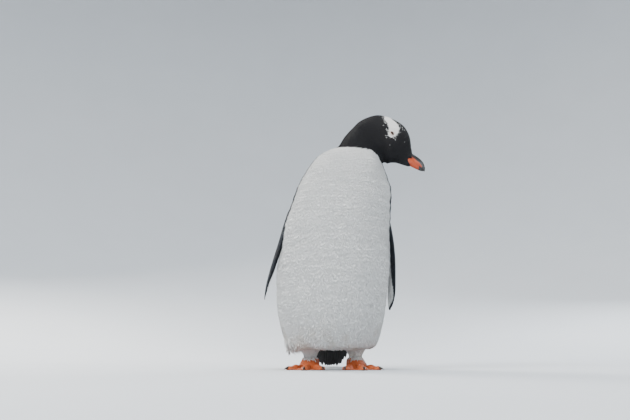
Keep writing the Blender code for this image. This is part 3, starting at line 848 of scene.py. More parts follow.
def claw_mesh(name, x, angle, length):
    """A claw: ovals of shrinking radius carried along a line that leaves the toe and bends down to
    just over the floor, with the rounded tip and the root closed."""
    share = np.linspace(0, 1, CLAW_ROWS)[:, None]
    around = turns(np.arange(CLAW_COLUMNS), CLAW_COLUMNS)
    distance = length - CLAW_OVERLAP + CLAW_LENGTH * share
    radius = CLAW_RADIUS * (1 - 0.96 * share**1.5) * (1 + 0.05 * np.cos(2 * around))
    middle = CLAW_HEIGHT - CLAW_BEND * share**2
    across = radius * np.cos(around) * CLAW_NARROW
    px = x + distance * math.sin(angle) + across * math.cos(angle)
    py = ANKLE_Y - distance * math.cos(angle) + across * math.sin(angle)
    pz = np.maximum(middle + radius * np.sin(around), CLAW_CLEARANCE)
    return closed_grid(name, np.stack([px, py, pz], axis=-1), {"along": share + 0 * around})


def add_claws(material):
    """The four claws of each foot."""
    for side, outward in (("right", -1), ("left", 1)):
        x = STANCE_X + outward * STANCE_HALF
        for digit, (angle, length) in zip(("inner", "middle", "outer", "hind"), toe_list(outward)):
            name = f"{digit}_claw_{side}"
            node = f"claw_{digit}_{side}"
            add_piece(name, claw_mesh(name, x, angle, length), material, "claw", [node])


# --- bill

BILL_STEPS = 120
BILL_AROUND = 112
LOWER_REACH = 0.95
BILL_ROUND = 1.7
MOUTH_FLAT = 0.06
MOUTH_GAP = 0.12
GROOVE_HEIGHT = 0.42
# The nostril: its share of the length and of the height, and its two radii in the same shares.
NOSTRIL_PLACE = (0.20, 0.40)
NOSTRIL_RADII = (0.07, 0.05)
NOSTRIL_LEAN = 0.3


def bill_grid(upper):
    """One half of the bill from its tip to inside the face, with its black, its share of the length
    and its nostril slit: arches |y/w|^1.7 + |z/h|^1.7 = 1 over a flat at the mouth, pinched along
    the groove that runs forward from the nostril."""
    reach = 1.0 if upper else LOWER_REACH
    slide = np.linspace(0, 1, BILL_STEPS)[:, None]
    share = reach * (1 - slide**1.6) - 0.10 * slide
    fore = np.clip(share, 0, 1)
    mouth = -2.0 * (1 - fore) - 4.0 * fore**4
    width = BILL_HALF_WIDTH * (1 - (fore / reach) ** 2.2) ** 0.62 + 0.02
    if upper:
        tall = (CULMEN_RISE + 2.0) * (1 - fore**3.5) ** 0.56
    else:
        tall = JAW_DROP * (1 - (fore / reach) ** 2.5) ** 0.6
    angle = turns(np.arange(BILL_AROUND), BILL_AROUND)
    c = np.cos(angle)
    s = np.sin(angle)
    over = (np.abs(c) ** BILL_ROUND + np.abs(s) ** BILL_ROUND) ** (1 / BILL_ROUND)
    ring_y = c / over
    ring_z = np.where(s > 0, s / over, MOUTH_FLAT * s)
    height = np.clip(ring_z, 0, 1)
    groove = smooth(0.62, 0.15, share) * np.exp(-(((height - GROOVE_HEIGHT) / 0.16) ** 2))
    ahead = share - NOSTRIL_PLACE[0]
    above = height - NOSTRIL_PLACE[1] - NOSTRIL_LEAN * ahead
    slit = np.exp(-((ahead / NOSTRIL_RADII[0]) ** 2 + (above / NOSTRIL_RADII[1]) ** 2))
    nostril = smooth(0.30, 0.75, slit)
    pinch = 1 - ((0.10 * groove + 0.12 * nostril) if upper else 0.04 * groove)
    y = width * ring_y * pinch
    way = 1 if upper else -1
    z = mouth + way * MOUTH_GAP + way * (tall + 0.05) * ring_z
    along = BILL_LENGTH * share
    cos_tilt = math.cos(BILL_TILT)
    sin_tilt = math.sin(BILL_TILT)
    px = BILL[0] + along * cos_tilt + z * sin_tilt
    pz = BILL[2] - along * sin_tilt + z * cos_tilt
    grid = np.stack([px, HEAD_Y + y, pz], axis=-1)
    black = bill_black(share + 0 * height, height + 0 * share, upper)
    return grid, black, share + 0 * height, slit * (1 if upper else 0)


def bill_black(share, height, upper):
    """The ridge of the upper half and both tips are black, with a ragged soft edge."""
    if not upper:
        return smooth(0.66, 0.80, share + 0.10 * (1 - height))
    ridge = smooth(0.47, 0.57, height + 0.02 * np.sin(share * 19) + 0.30 * share)
    tip = smooth(0.71, 0.84, share + 0.06 * height)
    return np.maximum(ridge, tip)


def add_bill(material):
    """Both halves of the bill."""
    for name, upper in (("upper_bill", True), ("lower_bill", False)):
        grid, black, share, nostril = bill_grid(upper)
        marks = {"black": black, "along": share, "nostril": nostril}
        mesh = closed_grid(name, grid, marks)
        add_piece(name, mesh, material, "bill", ["bill_upper" if upper else "bill_lower"])


# --- eyes

EYE_ROWS = 60
EYE_AROUND = 96
EYE_FACING = (0.17, 0.98, 0.06)
LID_ROUND = 1.75
LID_ROWS = 22
LID_FLOOR_ROWS = 8
LID_SKIRT = 1.12
LID_RISE = 0.28
LID_BEADS = 30


def eye_frame(side):
    """Centre of an eye, its outward axis, and the long and short axes of its opening."""
    centre = EYE + np.array([0.0, side * EYE_OFFSET, 0.0])
    forward, aside, up = EYE_FACING
    outward = unit(np.array([forward, side * aside, up]))
    long = np.array([math.cos(EYE_TILT), 0.0, -math.sin(EYE_TILT)])
    long = unit(long - outward * (long @ outward))
    return centre, outward, long, np.cross(outward, long) * -side


def on_eye(side, turn, around, radius):
    """Points at an angle from the outward axis of an eye, round it, at a radius from its centre."""
    centre, outward, long, short = eye_frame(side)
    ring = np.cos(around)[..., None] * long + np.sin(around)[..., None] * short
    way = np.cos(turn)[..., None] * outward + np.sin(turn)[..., None] * ring
    return centre + radius[..., None] * way


def lid_turn(around):
    """How far round the eyeball the lids' rim lies: an almond with a sharper front corner."""
    long, short = EYE_OPEN
    reach = (np.abs(np.cos(around)) / long) ** LID_ROUND + (np.abs(np.sin(around)) / short) ** LID_ROUND
    return np.arcsin(reach ** (-1 / LID_ROUND) / EYE_RADIUS)


def eyeball_mesh(name, side):
    """The eyeball: a sphere with the clear front swelling over the iris. Gaze is the share of the
    turn from its outward axis."""
    turn = np.linspace(math.pi * 0.995, 0.004, EYE_ROWS)[:, None]
    around = turns(np.arange(EYE_AROUND), EYE_AROUND)[None, :]
    radius = EYE_RADIUS + 0.35 * np.exp(-((turn / 0.62) ** 4)) - 0.05
    grid = on_eye(side, turn + 0 * around, around + 0 * turn, radius + 0 * around)
    marks = {"gaze": turn / math.pi + 0 * around, "around": around / (2 * math.pi) + 0 * turn}
    return closed_grid(name, grid, marks)


def lid_grid(side):
    """The lids: a thick soft ring over the eyeball. Round the opening its section is a rim that
    rises from the ball and falls away under the feathers, over a floor inside the ball."""
    around = turns(np.arange(EYE_AROUND), EYE_AROUND)[None, :]
    share = np.linspace(0, 1, LID_ROWS)[:, None]
    rim = lid_turn(around)
    turn = rim + (LID_SKIRT - rim) * share
    beads = 0.06 * np.sin(around * LID_BEADS) * np.exp(-(((share - 0.14) / 0.10) ** 2))
    bulge = 0.45 * np.exp(-(((share - 0.12) / 0.14) ** 2)) + beads
    crease = -0.16 * np.exp(-(((share - 0.34) / 0.07) ** 2))
    outer = on_eye(side, turn, around + 0 * share, EYE_RADIUS + LID_RISE + bulge + crease)
    back = np.linspace(1, 0, LID_FLOOR_ROWS)[:, None]
    inner_turn = rim + (LID_SKIRT - rim) * back
    floor = EYE_RADIUS - 1.4 + 0.9 * (1 - back) + 0 * around
    inner = on_eye(side, inner_turn, around + 0 * back, floor)
    return np.concatenate([outer, inner])


def lids_mesh(name, side):
    """The lids' ring as a mesh that closes on itself both ways. Its lid mark falls from 1 at the
    opening's edge to a half where the ring goes under the feathers."""
    grid = lid_grid(side)
    rows, columns, _ = grid.shape
    points = grid.reshape(-1, 3)
    last = np.arange(columns) + (rows - 1) * columns
    first = np.arange(columns)
    close = np.stack([last, np.roll(last, -1), np.roll(first, -1), first], axis=-1)
    faces = facing_out(points, [grid_faces(rows, columns), close])
    outer = np.linspace(0, 1, LID_ROWS)
    lid = 1 - 0.5 * np.concatenate([smooth(0.02, 0.10, outer), np.zeros(rows - len(outer))])
    marks = skin_marks(np.ones(len(points)), 0.0, np.repeat(lid, columns))
    return fill_mesh(name, points, faces, marks)


# --- tail

TAIL_ROOT = (26.0, 132.0)
TAIL_TIP_Y = 156.0
TAIL_HALF_WIDTH = 43.0
TAIL_REST = 0.92
TAIL_BEND = 9.0
FEATHER_STEPS = 48
FEATHER_ACROSS = 9
# Each fan: how many feathers, their spread, the shares of the tail's length where they start and
# end, their lift off its mid-line and their half width.
TAIL_FANS = {
    "tail_feathers": (16, 0.93, 0.05, 1.0, 2.2, 5.8),
    "tail_coverts": (14, 0.86, 0.05, 0.72, 6.5, 4.6),
    "under_coverts": (12, 0.78, 0.05, 0.46, -6.0, 4.4),
}
TAIL_COAT_WIDTHS = (2.6, 3.6)
TAIL_COAT_LENGTHS = (11.0, 21.0)
TAIL_COAT_RISES = (0.3, 1.4)


def tail_line(share):
    """Points (y, z) of the tail's mid-line, which runs down, bends and lies along the floor, and the
    direction across it: z is the positive branch of a hyperbola about its two straight parts."""
    root_y, root_z = TAIL_ROOT
    line = root_z * (1 - share / TAIL_REST)
    reach = np.hypot(line, TAIL_BEND)
    slope = -0.5 * root_z / TAIL_REST * (1 + line / reach) / (TAIL_TIP_Y - root_y)
    length = np.hypot(slope, 1.0)
    return root_y + (TAIL_TIP_Y - root_y) * share, 0.5 * (line + reach), -slope / length, 1 / length


def fan_half_width(share):
    """Half the fan's width at a share of its length, growing as a quarter of a sine wave."""
    return TAIL_HALF_WIDTH * (0.62 + 0.38 * np.sin(np.minimum(share * 1.3, 1) * math.pi / 2))


def tail_feather(name, column, start, end, lift, half_width, roll):
    """One stiff feather: a shallow roof of two webs and a shaft, carried along the tail's mid-line
    at its own place in the fan and rolled a little, with a blunt point whose webs are frayed."""
    slide = np.linspace(0, 1, FEATHER_STEPS)[:, None]
    share = start + (end - start) * slide
    y, z, up_y, up_z = tail_line(share)
    spread = fan_half_width(share)
    over = np.linspace(-1, 1, FEATHER_ACROSS)
    back = np.linspace(1, -1, FEATHER_ACROSS)[1:-1]
    across = np.concatenate([over, back])[None, :]
    under = np.concatenate([np.zeros(len(over)), np.ones(len(back))])[None, :]
    taper = (1 - slide**7) ** 0.7 * (0.75 + 0.25 * smooth(0, 0.25, slide)) + 0.01
    fray = 0.04 * np.sin(slide * 61 + 9 * column) * smooth(0.55, 1.0, slide)
    half = half_width * (taper + fray * np.abs(across))
    roof = 0.9 * (1 - np.abs(across)) + 0.5 * (1 - smooth(0.0, 0.22, np.abs(across)))
    height = lift * (1 - 0.75 * slide) * smooth(0.0, 0.3, share) + 1.1
    height = height + roof * (1 - 0.8 * under) * (1 - 0.5 * slide) - 0.35 * under
    x = STANCE_X + column * spread + across * half
    sag = (0.6 * np.abs(across) + roll * across) * (1 - 0.8 * slide)
    py = y + up_y * (height - sag)
    pz = np.maximum(z + up_z * (height - sag) - 1.6 * smooth(0.8, 1.0, share), 0.1 + 0.35 * (1 - under))
    grid = np.stack([x, py + 0 * x, pz], axis=-1)
    marks = {"along": slide + 0 * across, "across": 0.5 + 0.5 * across + 0 * slide}
    return closed_grid(name, grid, marks)


def join_meshes(name, meshes):
    """One mesh that holds the points, faces and marks of several."""
    builder = bmesh.new()
    for mesh in meshes:
        builder.from_mesh(mesh)
        bpy.data.meshes.remove(mesh)
    joined = bpy.data.meshes.new(name)
    builder.to_mesh(joined)
    builder.free()
    joined.shade_smooth()
    return joined


def feather_fan(name, count, spread, start, end, lift, half_width):
    """Overlapping long feathers side by side, shorter towards the sides, each a little out of
    line with the next."""
    fan = []
    for column in np.linspace(-spread, spread, count):
        own_end = end * (1 - 0.28 * column**2) - rng.uniform(0, 0.05)
        own_lift = lift * (1 - 0.5 * abs(column)) + rng.uniform(-0.4, 0.4)
        own_column = column + rng.uniform(-0.035, 0.035)
        own_half = half_width * rng.uniform(0.88, 1.12)
        roll = rng.uniform(-0.8, 0.8)
        fan.append(tail_feather("feather", own_column, start, own_end, own_lift, own_half, roll))
    return join_meshes(name, fan)


SLEEVE_END = 0.54
SLEEVE_START = 0.12
SLEEVE_SWELL = 42.0
SLEEVE_FLARE = 40.0
SLEEVE_ROWS = 60
SLEEVE_COLUMNS = 96
TAIL_COAT_AREA = 4.0
# The sine, round the root of the tail, above which its plumage is dark.
DARK_ABOVE = -0.25


def sleeve_grid():
    """Rings round the root of the tail, from half way down it to inside the rump: ovals across its
    mid-line that start inside the fan and swell towards the body, with (1 - share/end)^1.4."""
    share = np.linspace(SLEEVE_END - 0.02, SLEEVE_START, SLEEVE_ROWS)[:, None]
    y, z, up_y, up_z = tail_line(share)
    around = turns(np.arange(SLEEVE_COLUMNS), SLEEVE_COLUMNS)[None, :]
    half = fan_half_width(share) - 4.0 + SLEEVE_FLARE * (1 - share / SLEEVE_END) ** 1.5
    thick = 1.0 + SLEEVE_SWELL * (1 - share / SLEEVE_END) ** 1.4
    flat = thick * np.sin(around)
    x = STANCE_X + half * np.cos(around) + 0 * share
    return np.stack([x, y + up_y * flat, z + up_z * flat], axis=-1)


def add_tail_coat(material):
    """Body feathers that run on over the root of the tail: dark above, white below."""
    coat = Coat(sleeve_grid(), 1)
    shape = coat.grid.shape[:2]
    around = turns(np.arange(shape[1]), shape[1])
    from_end = np.linspace(0, 1, shape[0])[:-1, None] - 0.16 * np.cos(around) ** 2
    keep = smooth(-0.06, 0.26, from_end)
    row, column, shares = coat.scatter(np.full(shape, TAIL_COAT_AREA), keep)
    count = len(row)
    root = read(coat.grid, row, column)
    width = rng.uniform(*TAIL_COAT_WIDTHS, count)
    length = rng.uniform(*TAIL_COAT_LENGTHS, count)
    rise = rng.uniform(*TAIL_COAT_RISES, count)
    sway = 0.12 * waves(root, 40, 41) + rng.normal(0, 0.07, count)
    points = lay_vanes(coat, row, column, width, length, rise, sway)
    points[..., 2] = np.maximum(points[..., 2], 0.3)
    above = np.sin(turns(column, shape[1])) > DARK_ABOVE
    marks = np.stack([np.where(above, 0.0, 1.0), rng.uniform(0, 1, count)], axis=-1)
    add_coat("rump_feathers", points, shares, marks, material, "dark_feathers")


def add_tail(dark, pale, plumage):
    """The fan of long feathers, the coverts that lie on its root, the white ones under it, and the
    body feathers over all their roots."""
    looks = (
        (dark, "tail_feathers", ["tail"]),
        (dark, "tail_feathers"),
        (pale, "white_feathers"),
    )
    for (name, fan), look in zip(TAIL_FANS.items(), looks):
        add_piece(name, feather_fan(name, *fan), *look)
    add_tail_coat(plumage)


# --- the coat of the body


HEM_CLEARANCE = 22.0
RIPPLE_SPACING = 6.4
# Centre and radii of the ragged corner of the hem and of the loose tuft on the right flank.
RAGGED_HEM = ((-124, -40, 58), (20, 55, 16))
LOOSE_FLANK = ((-126, -55, 185), (22, 34, 46))


def eye_zone(points, margin):
    """Below 1 inside the lids' bare ring and a margin round it, on either side of the head."""
    zone = np.full(points.shape[:-1], 9.0)
    for side in (-1, 1):
        centre, outward, long, short = eye_frame(side)
        away = points - centre
        a = (away @ long) / (EYE_OPEN[0] + margin)
        b = (away @ short) / (EYE_OPEN[1] + margin)
        zone = np.where(away @ outward > 0, np.minimum(zone, a * a + b * b), zone)
    return zone


def clear_of_eyes(coat, row, column, length):
    """Lengths cut down until no feather's tip lies over an eye, and 0 where none would fit."""
    for share in (1.0, 0.75, 0.5):
        tip = read(coat.grid, coat.back(row, column, length), column)
        middle = read(coat.grid, coat.back(row, column, length * 0.6), column)
        covers = np.minimum(eye_zone(tip, 0.5), eye_zone(middle, 0.5)) < 1
        length = np.where(covers, length * share * 0.7, length)
    tip = read(coat.grid, coat.back(row, column, length), column)
    return np.where(eye_zone(tip, 0.4) < 1, 0.0, length)


def add_body_coat(material):
    """Feathers all over trunk, neck and head, smallest on the face."""
    grid, places = body_grid()
    coat = Coat(grid)
    column_one = np.ones(grid.shape[1])
    width = np.interp(places, COAT_PLACES, COAT_WIDTH)[:, None] * column_one
    length = np.interp(places, COAT_PLACES, COAT_LENGTH)[:, None] * column_one
    keep = np.where(eye_zone(grid, 0.9) < 1, 0.0, 1.0)
    keep = keep * (places > -0.75)[:, None]
    share = np.interp(places, COAT_PLACES, COAT_SHARE)[:, None]
    row, column, shares = coat.scatter(width * length * share, keep[:-1])
    count = len(row)
    row = row + rng.uniform(-0.8, 0.8, count)
    column = column + rng.uniform(-0.4, 0.4, count)
    root = read(grid, row, column)
    place = place_of(places, row)
    angle = turns(column, BODY_COLUMNS)
    wide = np.interp(place, COAT_PLACES, COAT_WIDTH) * rng.uniform(0.8, 1.2, count)
    long = np.interp(place, COAT_PLACES, COAT_LENGTH) * rng.uniform(0.8, 1.2, count)
    hem = smooth(1.2, 0.2, place)
    long = long * (1 + 0.45 * hem * rng.uniform(0, 1, count))
    long = clear_of_eyes(coat, row, column, long)
    depth = np.interp(place, COAT_PLACES, COAT_DEPTH)
    locks = waves(root, 30, 11) + 0.5 * waves(root, 12, 12)
    ripple = np.sin(turns(root[:, 2] + 5 * waves(root, 130, 15), RIPPLE_SPACING))
    ripple = ripple * smooth(-20, -70, root[:, 1]) * smooth(90, 170, root[:, 2]) * (place < NECK_PLACE)
    rise = depth * (0.74 + 0.08 * locks + 0.12 * ripple + rng.uniform(-0.045, 0.045, count))
    loose = (rng.uniform(0, 1, count) < 0.015 + 0.12 * hem) * (place < HEAD_PLACE)
    rise = np.maximum(rise + loose * rng.uniform(0.3, 1.3, count), 0.25 * depth)
    sway = 0.16 * waves(root, 48, 13) + 0.08 * waves(root, 17, 14) + rng.normal(0, 0.05, count)
    ragged = np.minimum(1.3 * hill(root, *RAGGED_HEM), 1.0)
    ragged = ragged * (rng.uniform(0, 1, count) < 0.40)
    long = long * (1 + 0.55 * ragged)
    stiff = np.clip(0.45 * smooth(1.6, 0.6, place) + 0.6 * ragged, 0, 1) * (place > -0.1)
    pull = ragged[:, None] * (np.array([-0.15, 0.0, -1.0]) + rng.normal(0, 0.28, (count, 3)))
    flank = hill(root, *LOOSE_FLANK) * (0.6 + 0.4 * waves(root, 14, 16))
    rise = rise + ragged * rng.uniform(0.5, 3.5, count) + 1.6 * flank
    sway = sway + 0.35 * ragged * rng.normal(0, 1, count) + 0.45 * flank * waves(root, 16, 17)
    white = body_white(root + rng.normal(0, 0.5, (count, 3)), place, angle)
    white = np.where(white > 0.5, 1.0, 0.0)
    stray = 0.20 * np.exp(np.minimum(patch_distance(root), 0) / 3.6) * (place > 16)
    white = np.where(rng.uniform(0, 1, count) < stray, 1.0, white)
    points = lay_vanes(coat, row, column, wide, long, rise, sway, stiff=stiff, pull=pull)
    points[..., 2] = np.maximum(points[..., 2], HEM_CLEARANCE)
    # Tone is random, less the ripple: the breast's feathers are painted lighter on the crests of its ripples
    # and darker in their troughs, which is painted light and shade over the folds.
    tone = np.clip(rng.uniform(0, 0.8, count) + 0.2 - 0.25 * ripple, 0, 1)
    marks = np.stack([white, tone], axis=-1)
    fits = long > 0.5
    regions = (
        ("belly_feathers", place < BREAST_PLACE, "white_feathers"),
        ("breast_feathers", (place >= BREAST_PLACE) & (place < NECK_PLACE), "white_feathers"),
        ("neck_feathers", (place >= NECK_PLACE) & (place < CROWN_PLACE), "dark_feathers"),
        ("head_feathers", (place >= CROWN_PLACE) & (place < FACE_PLACE), "dark_feathers"),
        ("face_feathers", place >= FACE_PLACE, "dark_feathers"),
    )
    for name, inside, slot in regions:
        chosen = inside & fits
        add_coat(name, points[chosen], shares[chosen], marks[chosen], material, slot)


# --- skin


def add_shell(name, mesh):
    """Links a closed shell that the skin is joined from."""
    shell = bpy.data.objects.new(name, mesh)
    bpy.context.scene.collection.objects.link(shell)
    return shell


def skin_marks(white, bare=0.0, lid=0.0):
    """The marks every shell carries: white plumage, bare foot and bare lid."""
    return {"white": white, "bare": bare + 0 * white, "lid": lid + 0 * white}


def body_shell():
    """The trunk, neck and head, on every third row and second column of their grid."""
    grid, places = body_grid()
    angle = turns(np.arange(BODY_COLUMNS), BODY_COLUMNS)
    white = body_white(grid, places[:, None] + 0 * angle, angle + 0 * places[:, None])
    rows = np.unique(np.append(np.arange(0, len(grid), 3), len(grid) - 1))
    return closed_grid("skin", grid[rows][:, ::2], skin_marks(white[rows][:, ::2]))


def flipper_shell(rows, out_x):
    """One flipper."""
    grid, places = flipper_grid(rows)
    angle = turns(np.arange(FLIPPER_COLUMNS), FLIPPER_COLUMNS) + 0 * places[:, None]
    outer = np.sin(angle) * out_x > 0
    white = flipper_white(places[:, None] + 0 * angle, angle, outer)
    return closed_grid("flipper", grid, skin_marks(white))


def rump_shell():
    """The root of the tail, dark above and white below."""
    grid = sleeve_grid()
    around = turns(np.arange(grid.shape[1]), grid.shape[1])
    white = np.where(np.sin(around) > DARK_ABOVE, 0.0, 1.0) + np.zeros(grid.shape[:2])
    return closed_grid("rump", grid, skin_marks(white))


def foot_shell(outward):
    """One shank and foot, bare below the loose edge of the shank's feathers."""
    grid, kinds = foot_grid(outward)
    kind = kinds[:, None] + np.zeros(FOOT_COLUMNS)
    feathered = np.where(kind > FEATHER_LINE, 1.0, 0.0)
    return closed_grid("foot", grid, skin_marks(feathered, 1 - feathered))


def read_items(items, field, width, kind=np.float32):
    """One field of a mesh's points, edges or attribute as an array."""
    values = np.empty(len(items) * width, kind)
    items.foreach_get(field, values)
    return values.reshape(len(items), width).squeeze()


def spot_keys(points):
    """A whole number for each point's place, to a thousandth of a millimetre."""
    steps = np.round(points.astype(float) * 1e6).astype(np.int64) + 2**20
    return steps[:, 0] + (steps[:, 1] << 21) + (steps[:, 2] << 42)


def carry_marks(skin, shells):
    """Gives the joined skin the marks of its shells: each point takes those of the shell point at
    the same spot, and the new points along the seams take the mean of their neighbours' marks."""
    sources = [shell.data for shell in shells]
    keys = np.concatenate([spot_keys(read_items(mesh.vertices, "co", 3)) for mesh in sources])
    order = np.argsort(keys)
    own = spot_keys(read_items(skin.vertices, "co", 3))
    found = order[np.minimum(np.searchsorted(keys[order], own), len(keys) - 1)]
    known = keys[found] == own
    edges = read_items(skin.edges, "vertices", 2, np.int32)
    ends = np.concatenate([edges, edges[:, ::-1]])
    for name in ("white", "bare", "lid"):
        values = [read_items(mesh.attributes[name].data, "value", 1) for mesh in sources]
        mark_values = np.where(known, np.concatenate(values)[found], 0.0)
        sure = known.astype(float)
        for _ in range(4):
            total = np.bincount(ends[:, 0], (mark_values * sure)[ends[:, 1]], len(own))
            weight = np.bincount(ends[:, 0], sure[ends[:, 1]], len(own))
            fresh = (sure == 0) & (weight > 0)
            mark_values[fresh] = total[fresh] / weight[fresh]
            sure[fresh] = 1.0
        skin.attributes.remove(skin.attributes[name])
        layer = skin.attributes.new(name, "FLOAT", "POINT")
        layer.data.foreach_set("value", mark_values.astype(np.float32))


def add_skin(material):
    """One skin: the shells of the body, flippers, shanks, feet and lids, made one solid."""
    body = add_shell("shell", body_shell())
    meshes = [flipper_shell(RIGHT_FLIPPER, -1), flipper_shell(LEFT_FLIPPER, 1), rump_shell()]
    meshes += [foot_shell(outward) for outward in (-1, 1)]
    meshes += [lids_mesh("lids", side) for side in (-1, 1)]
    shells = [add_shell("shell", mesh) for mesh in meshes]
    for shell in shells:
        union = body.modifiers.new("union", "BOOLEAN")
        union.operation = "UNION"
        union.solver = "EXACT"
        union.object = shell
    graph = bpy.context.evaluated_depsgraph_get()
    skin = bpy.data.meshes.new_from_object(body.evaluated_get(graph))
    skin.name = "skin"
    skin.shade_smooth()
    carry_marks(skin, (body, *shells))
    for shell in (body, *shells):
        bpy.data.objects.remove(shell, do_unlink=True)
    skin.materials.clear()
    nodes = ["trunk", "neck", "head"]
    nodes += [part + side for part in ("flipper_", "leg_", "foot_") for side in ("right", "left")]
    add_piece("skin", skin, material, "white_feathers", nodes)


def add_eyes(material):
    """The eyeballs."""
    for side, y_side in (("right", -1), ("left", 1)):
        name = "eyeball_" + side
        add_piece(name, eyeball_mesh(name, y_side), material, "eye", ["eye_" + side])


# --- materials


def new_material(name):
    """An empty material, its node tree and its Principled shader."""
    made = bpy.data.materials.new(name)
    made.use_nodes = True
    return made, made.node_tree, made.node_tree.nodes["Principled BSDF"]


def put(tree, target, value):
    """Sets an input, or links it when the value is another node's output."""
    if isinstance(value, bpy.types.NodeSocket):
        tree.links.new(value, target)
    elif target.type == "RGBA":
        target.default_value = (*value, 1.0)
    else:
        target.default_value = value


def node(tree, kind, settings=None, **inputs):
    """A node with its settings, and its inputs by name with underscores for spaces."""
    made = tree.nodes.new("ShaderNode" + kind)
    for key, value in (settings or {}).items():
        setattr(made, key, value)
    for key, value in inputs.items():
        put(tree, made.inputs[key.replace("_", " ")], value)
    return made


def calc(tree, operation, *values, clamp=False):
    """The result of a math node."""
    made = tree.nodes.new("ShaderNodeMath")
    made.operation = operation
    made.use_clamp = clamp
    for k, value in enumerate(values):
        put(tree, made.inputs[k], value)
    return made.outputs[0]


def ramp(tree, value, low, high, start=0.0, end=1.0):
    """A value carried smoothly from one range to another and held at its ends."""
    made = node(tree, "MapRange", {"interpolation_type": "SMOOTHSTEP"})
    for k, item in enumerate((value, low, high, start, end)):
        put(tree, made.inputs[k], item)
    return made.outputs[0]


def blend(tree, factor, first, second):
    """A mix of two colours."""
    made = tree.nodes.new("ShaderNodeMix")
    made.data_type = "RGBA"
    put(tree, made.inputs[0], factor)
    put(tree, made.inputs[6], first)
    put(tree, made.inputs[7], second)
    return made.outputs[2]


def mark(tree, name, output="Fac"):
    """A named attribute of the mesh."""
    return node(tree, "Attribute", {"attribute_name": name}).outputs[output]


def bump(tree, shader, height, strength, distance):
    """A bump from a height, into the shader's normal."""
    made = node(tree, "Bump", Height=height, Strength=strength, Distance=distance)
    put(tree, shader.inputs["Normal"], made.outputs[0])


def place_nodes(tree):
    """Object coordinates, and their three parts."""
    spot = node(tree, "TexCoord").outputs["Object"]
    return spot, node(tree, "SeparateXYZ", Vector=spot).outputs


def new_group(name, inputs, outputs):
    """A node group with number inputs at their own values and outputs of each kind, and its input
    node."""
    group = bpy.data.node_groups.new(name, "ShaderNodeTree")
    for title, value in inputs.items():
        socket = group.interface.new_socket(title, in_out="INPUT", socket_type="NodeSocketFloat")
        socket.default_value = value
    for title, kind in outputs.items():
        group.interface.new_socket(title, in_out="OUTPUT", socket_type="NodeSocket" + kind)
    return group, group.nodes.new("NodeGroupInput")


def make_mottle():
    """A group that gives patchy and fine variation of a surface: noise of two sizes."""
    inputs = {"Size": 0.02, "Fine Size": 0.002}
    group, inside = new_group("mottle", inputs, {"Patches": "Float", "Grain": "Float"})
    out = group.nodes.new("NodeGroupOutput")
    spot = node(group, "TexCoord").outputs["Object"]
    for k in range(2):
        scale = calc(group, "DIVIDE", 1.0, inside.outputs[k])
        noise = node(group, "TexNoise", Vector=spot, Scale=scale, Detail=3.0, Roughness=0.55)
        group.links.new(noise.outputs["Fac"], out.inputs[k])
    return group


def make_barbs():
    """A group that gives the height of a feather's barbs: fine ridges that slant back from the
    shaft, as a sine of along + slant * |across - 0.5|."""
    inputs = {"Across": 0.5, "Along": 0.0, "Count": 30.0, "Slant": 0.5}
    group, inside = new_group("barbs", inputs, {"Height": "Float"})
    out = group.nodes.new("NodeGroupOutput")
    off = calc(group, "ABSOLUTE", calc(group, "SUBTRACT", inside.outputs["Across"], 0.5))
    slanted = calc(group, "MULTIPLY", off, inside.outputs["Slant"])
    line = calc(group, "SUBTRACT", inside.outputs["Along"], slanted)
    turn = calc(group, "MULTIPLY", calc(group, "MULTIPLY", line, inside.outputs["Count"]), 2 * math.pi)
    group.links.new(calc(group, "SINE", turn), out.inputs[0])
    return group


def group_node(tree, group, **inputs):
    """A node that holds a group, with its inputs by name."""
    made = tree.nodes.new("ShaderNodeGroup")
    made.node_tree = group
    for key, value in inputs.items():
        put(tree, made.inputs[key.replace("_", " ")], value)
    return made


# The skin's down takes the plumage colour of this place along a feather.
DOWN_ALONG = 0.2
WHITE = (0.80, 0.80, 0.785)
WHITE_SHADE = (0.60, 0.61, 0.61)
SOIL = (0.50, 0.42, 0.33)
SLATE = (0.012, 0.014, 0.018)
SLATE_TIP = (0.038, 0.046, 0.060)
WORN_TIP = (0.046, 0.040, 0.036)
HEAD_BLACK = (0.007, 0.007, 0.008)
HEAD_TIP = (0.018, 0.018, 0.021)
FOOT_SKIN = ((0.44, 0.070, 0.013), (0.62, 0.145, 0.032))
FOOT_CREASE = (0.22, 0.035, 0.012)
SOLE_DARK = (0.035, 0.028, 0.026)
LID_SKIN = ((0.74, 0.69, 0.64), (0.58, 0.47, 0.41))
LID_RIM = (0.06, 0.035, 0.03)
BILL_ORANGE = ((0.36, 0.030, 0.002), (0.52, 0.074, 0.004))
BILL_FORE = (0.28, 0.018, 0.003)
BILL_STREAK = (0.25, 0.026, 0.005)
BILL_BLACK = ((0.004, 0.004, 0.004), (0.014, 0.012, 0.011))
# Painted shade for the inside of the nostril's opening, which the mesh only pinches in.
NOSTRIL_SHADE = (0.008, 0.005, 0.004)
IRIS = ((0.035, 0.012, 0.006), (0.14, 0.046, 0.016))
IRIS_RIM = (0.012, 0.006, 0.004)
PUPIL = (0.002, 0.002, 0.002)
CLAW_HORN = ((0.012, 0.010, 0.009), (0.045, 0.034, 0.027))
CLAW_WORN = (0.16, 0.12, 0.09)
TAIL_DARK = ((0.008, 0.008, 0.009), (0.014, 0.012, 0.011), (0.020, 0.018, 0.017))
TAIL_PALE_SHAFT = (0.72, 0.70, 0.66)


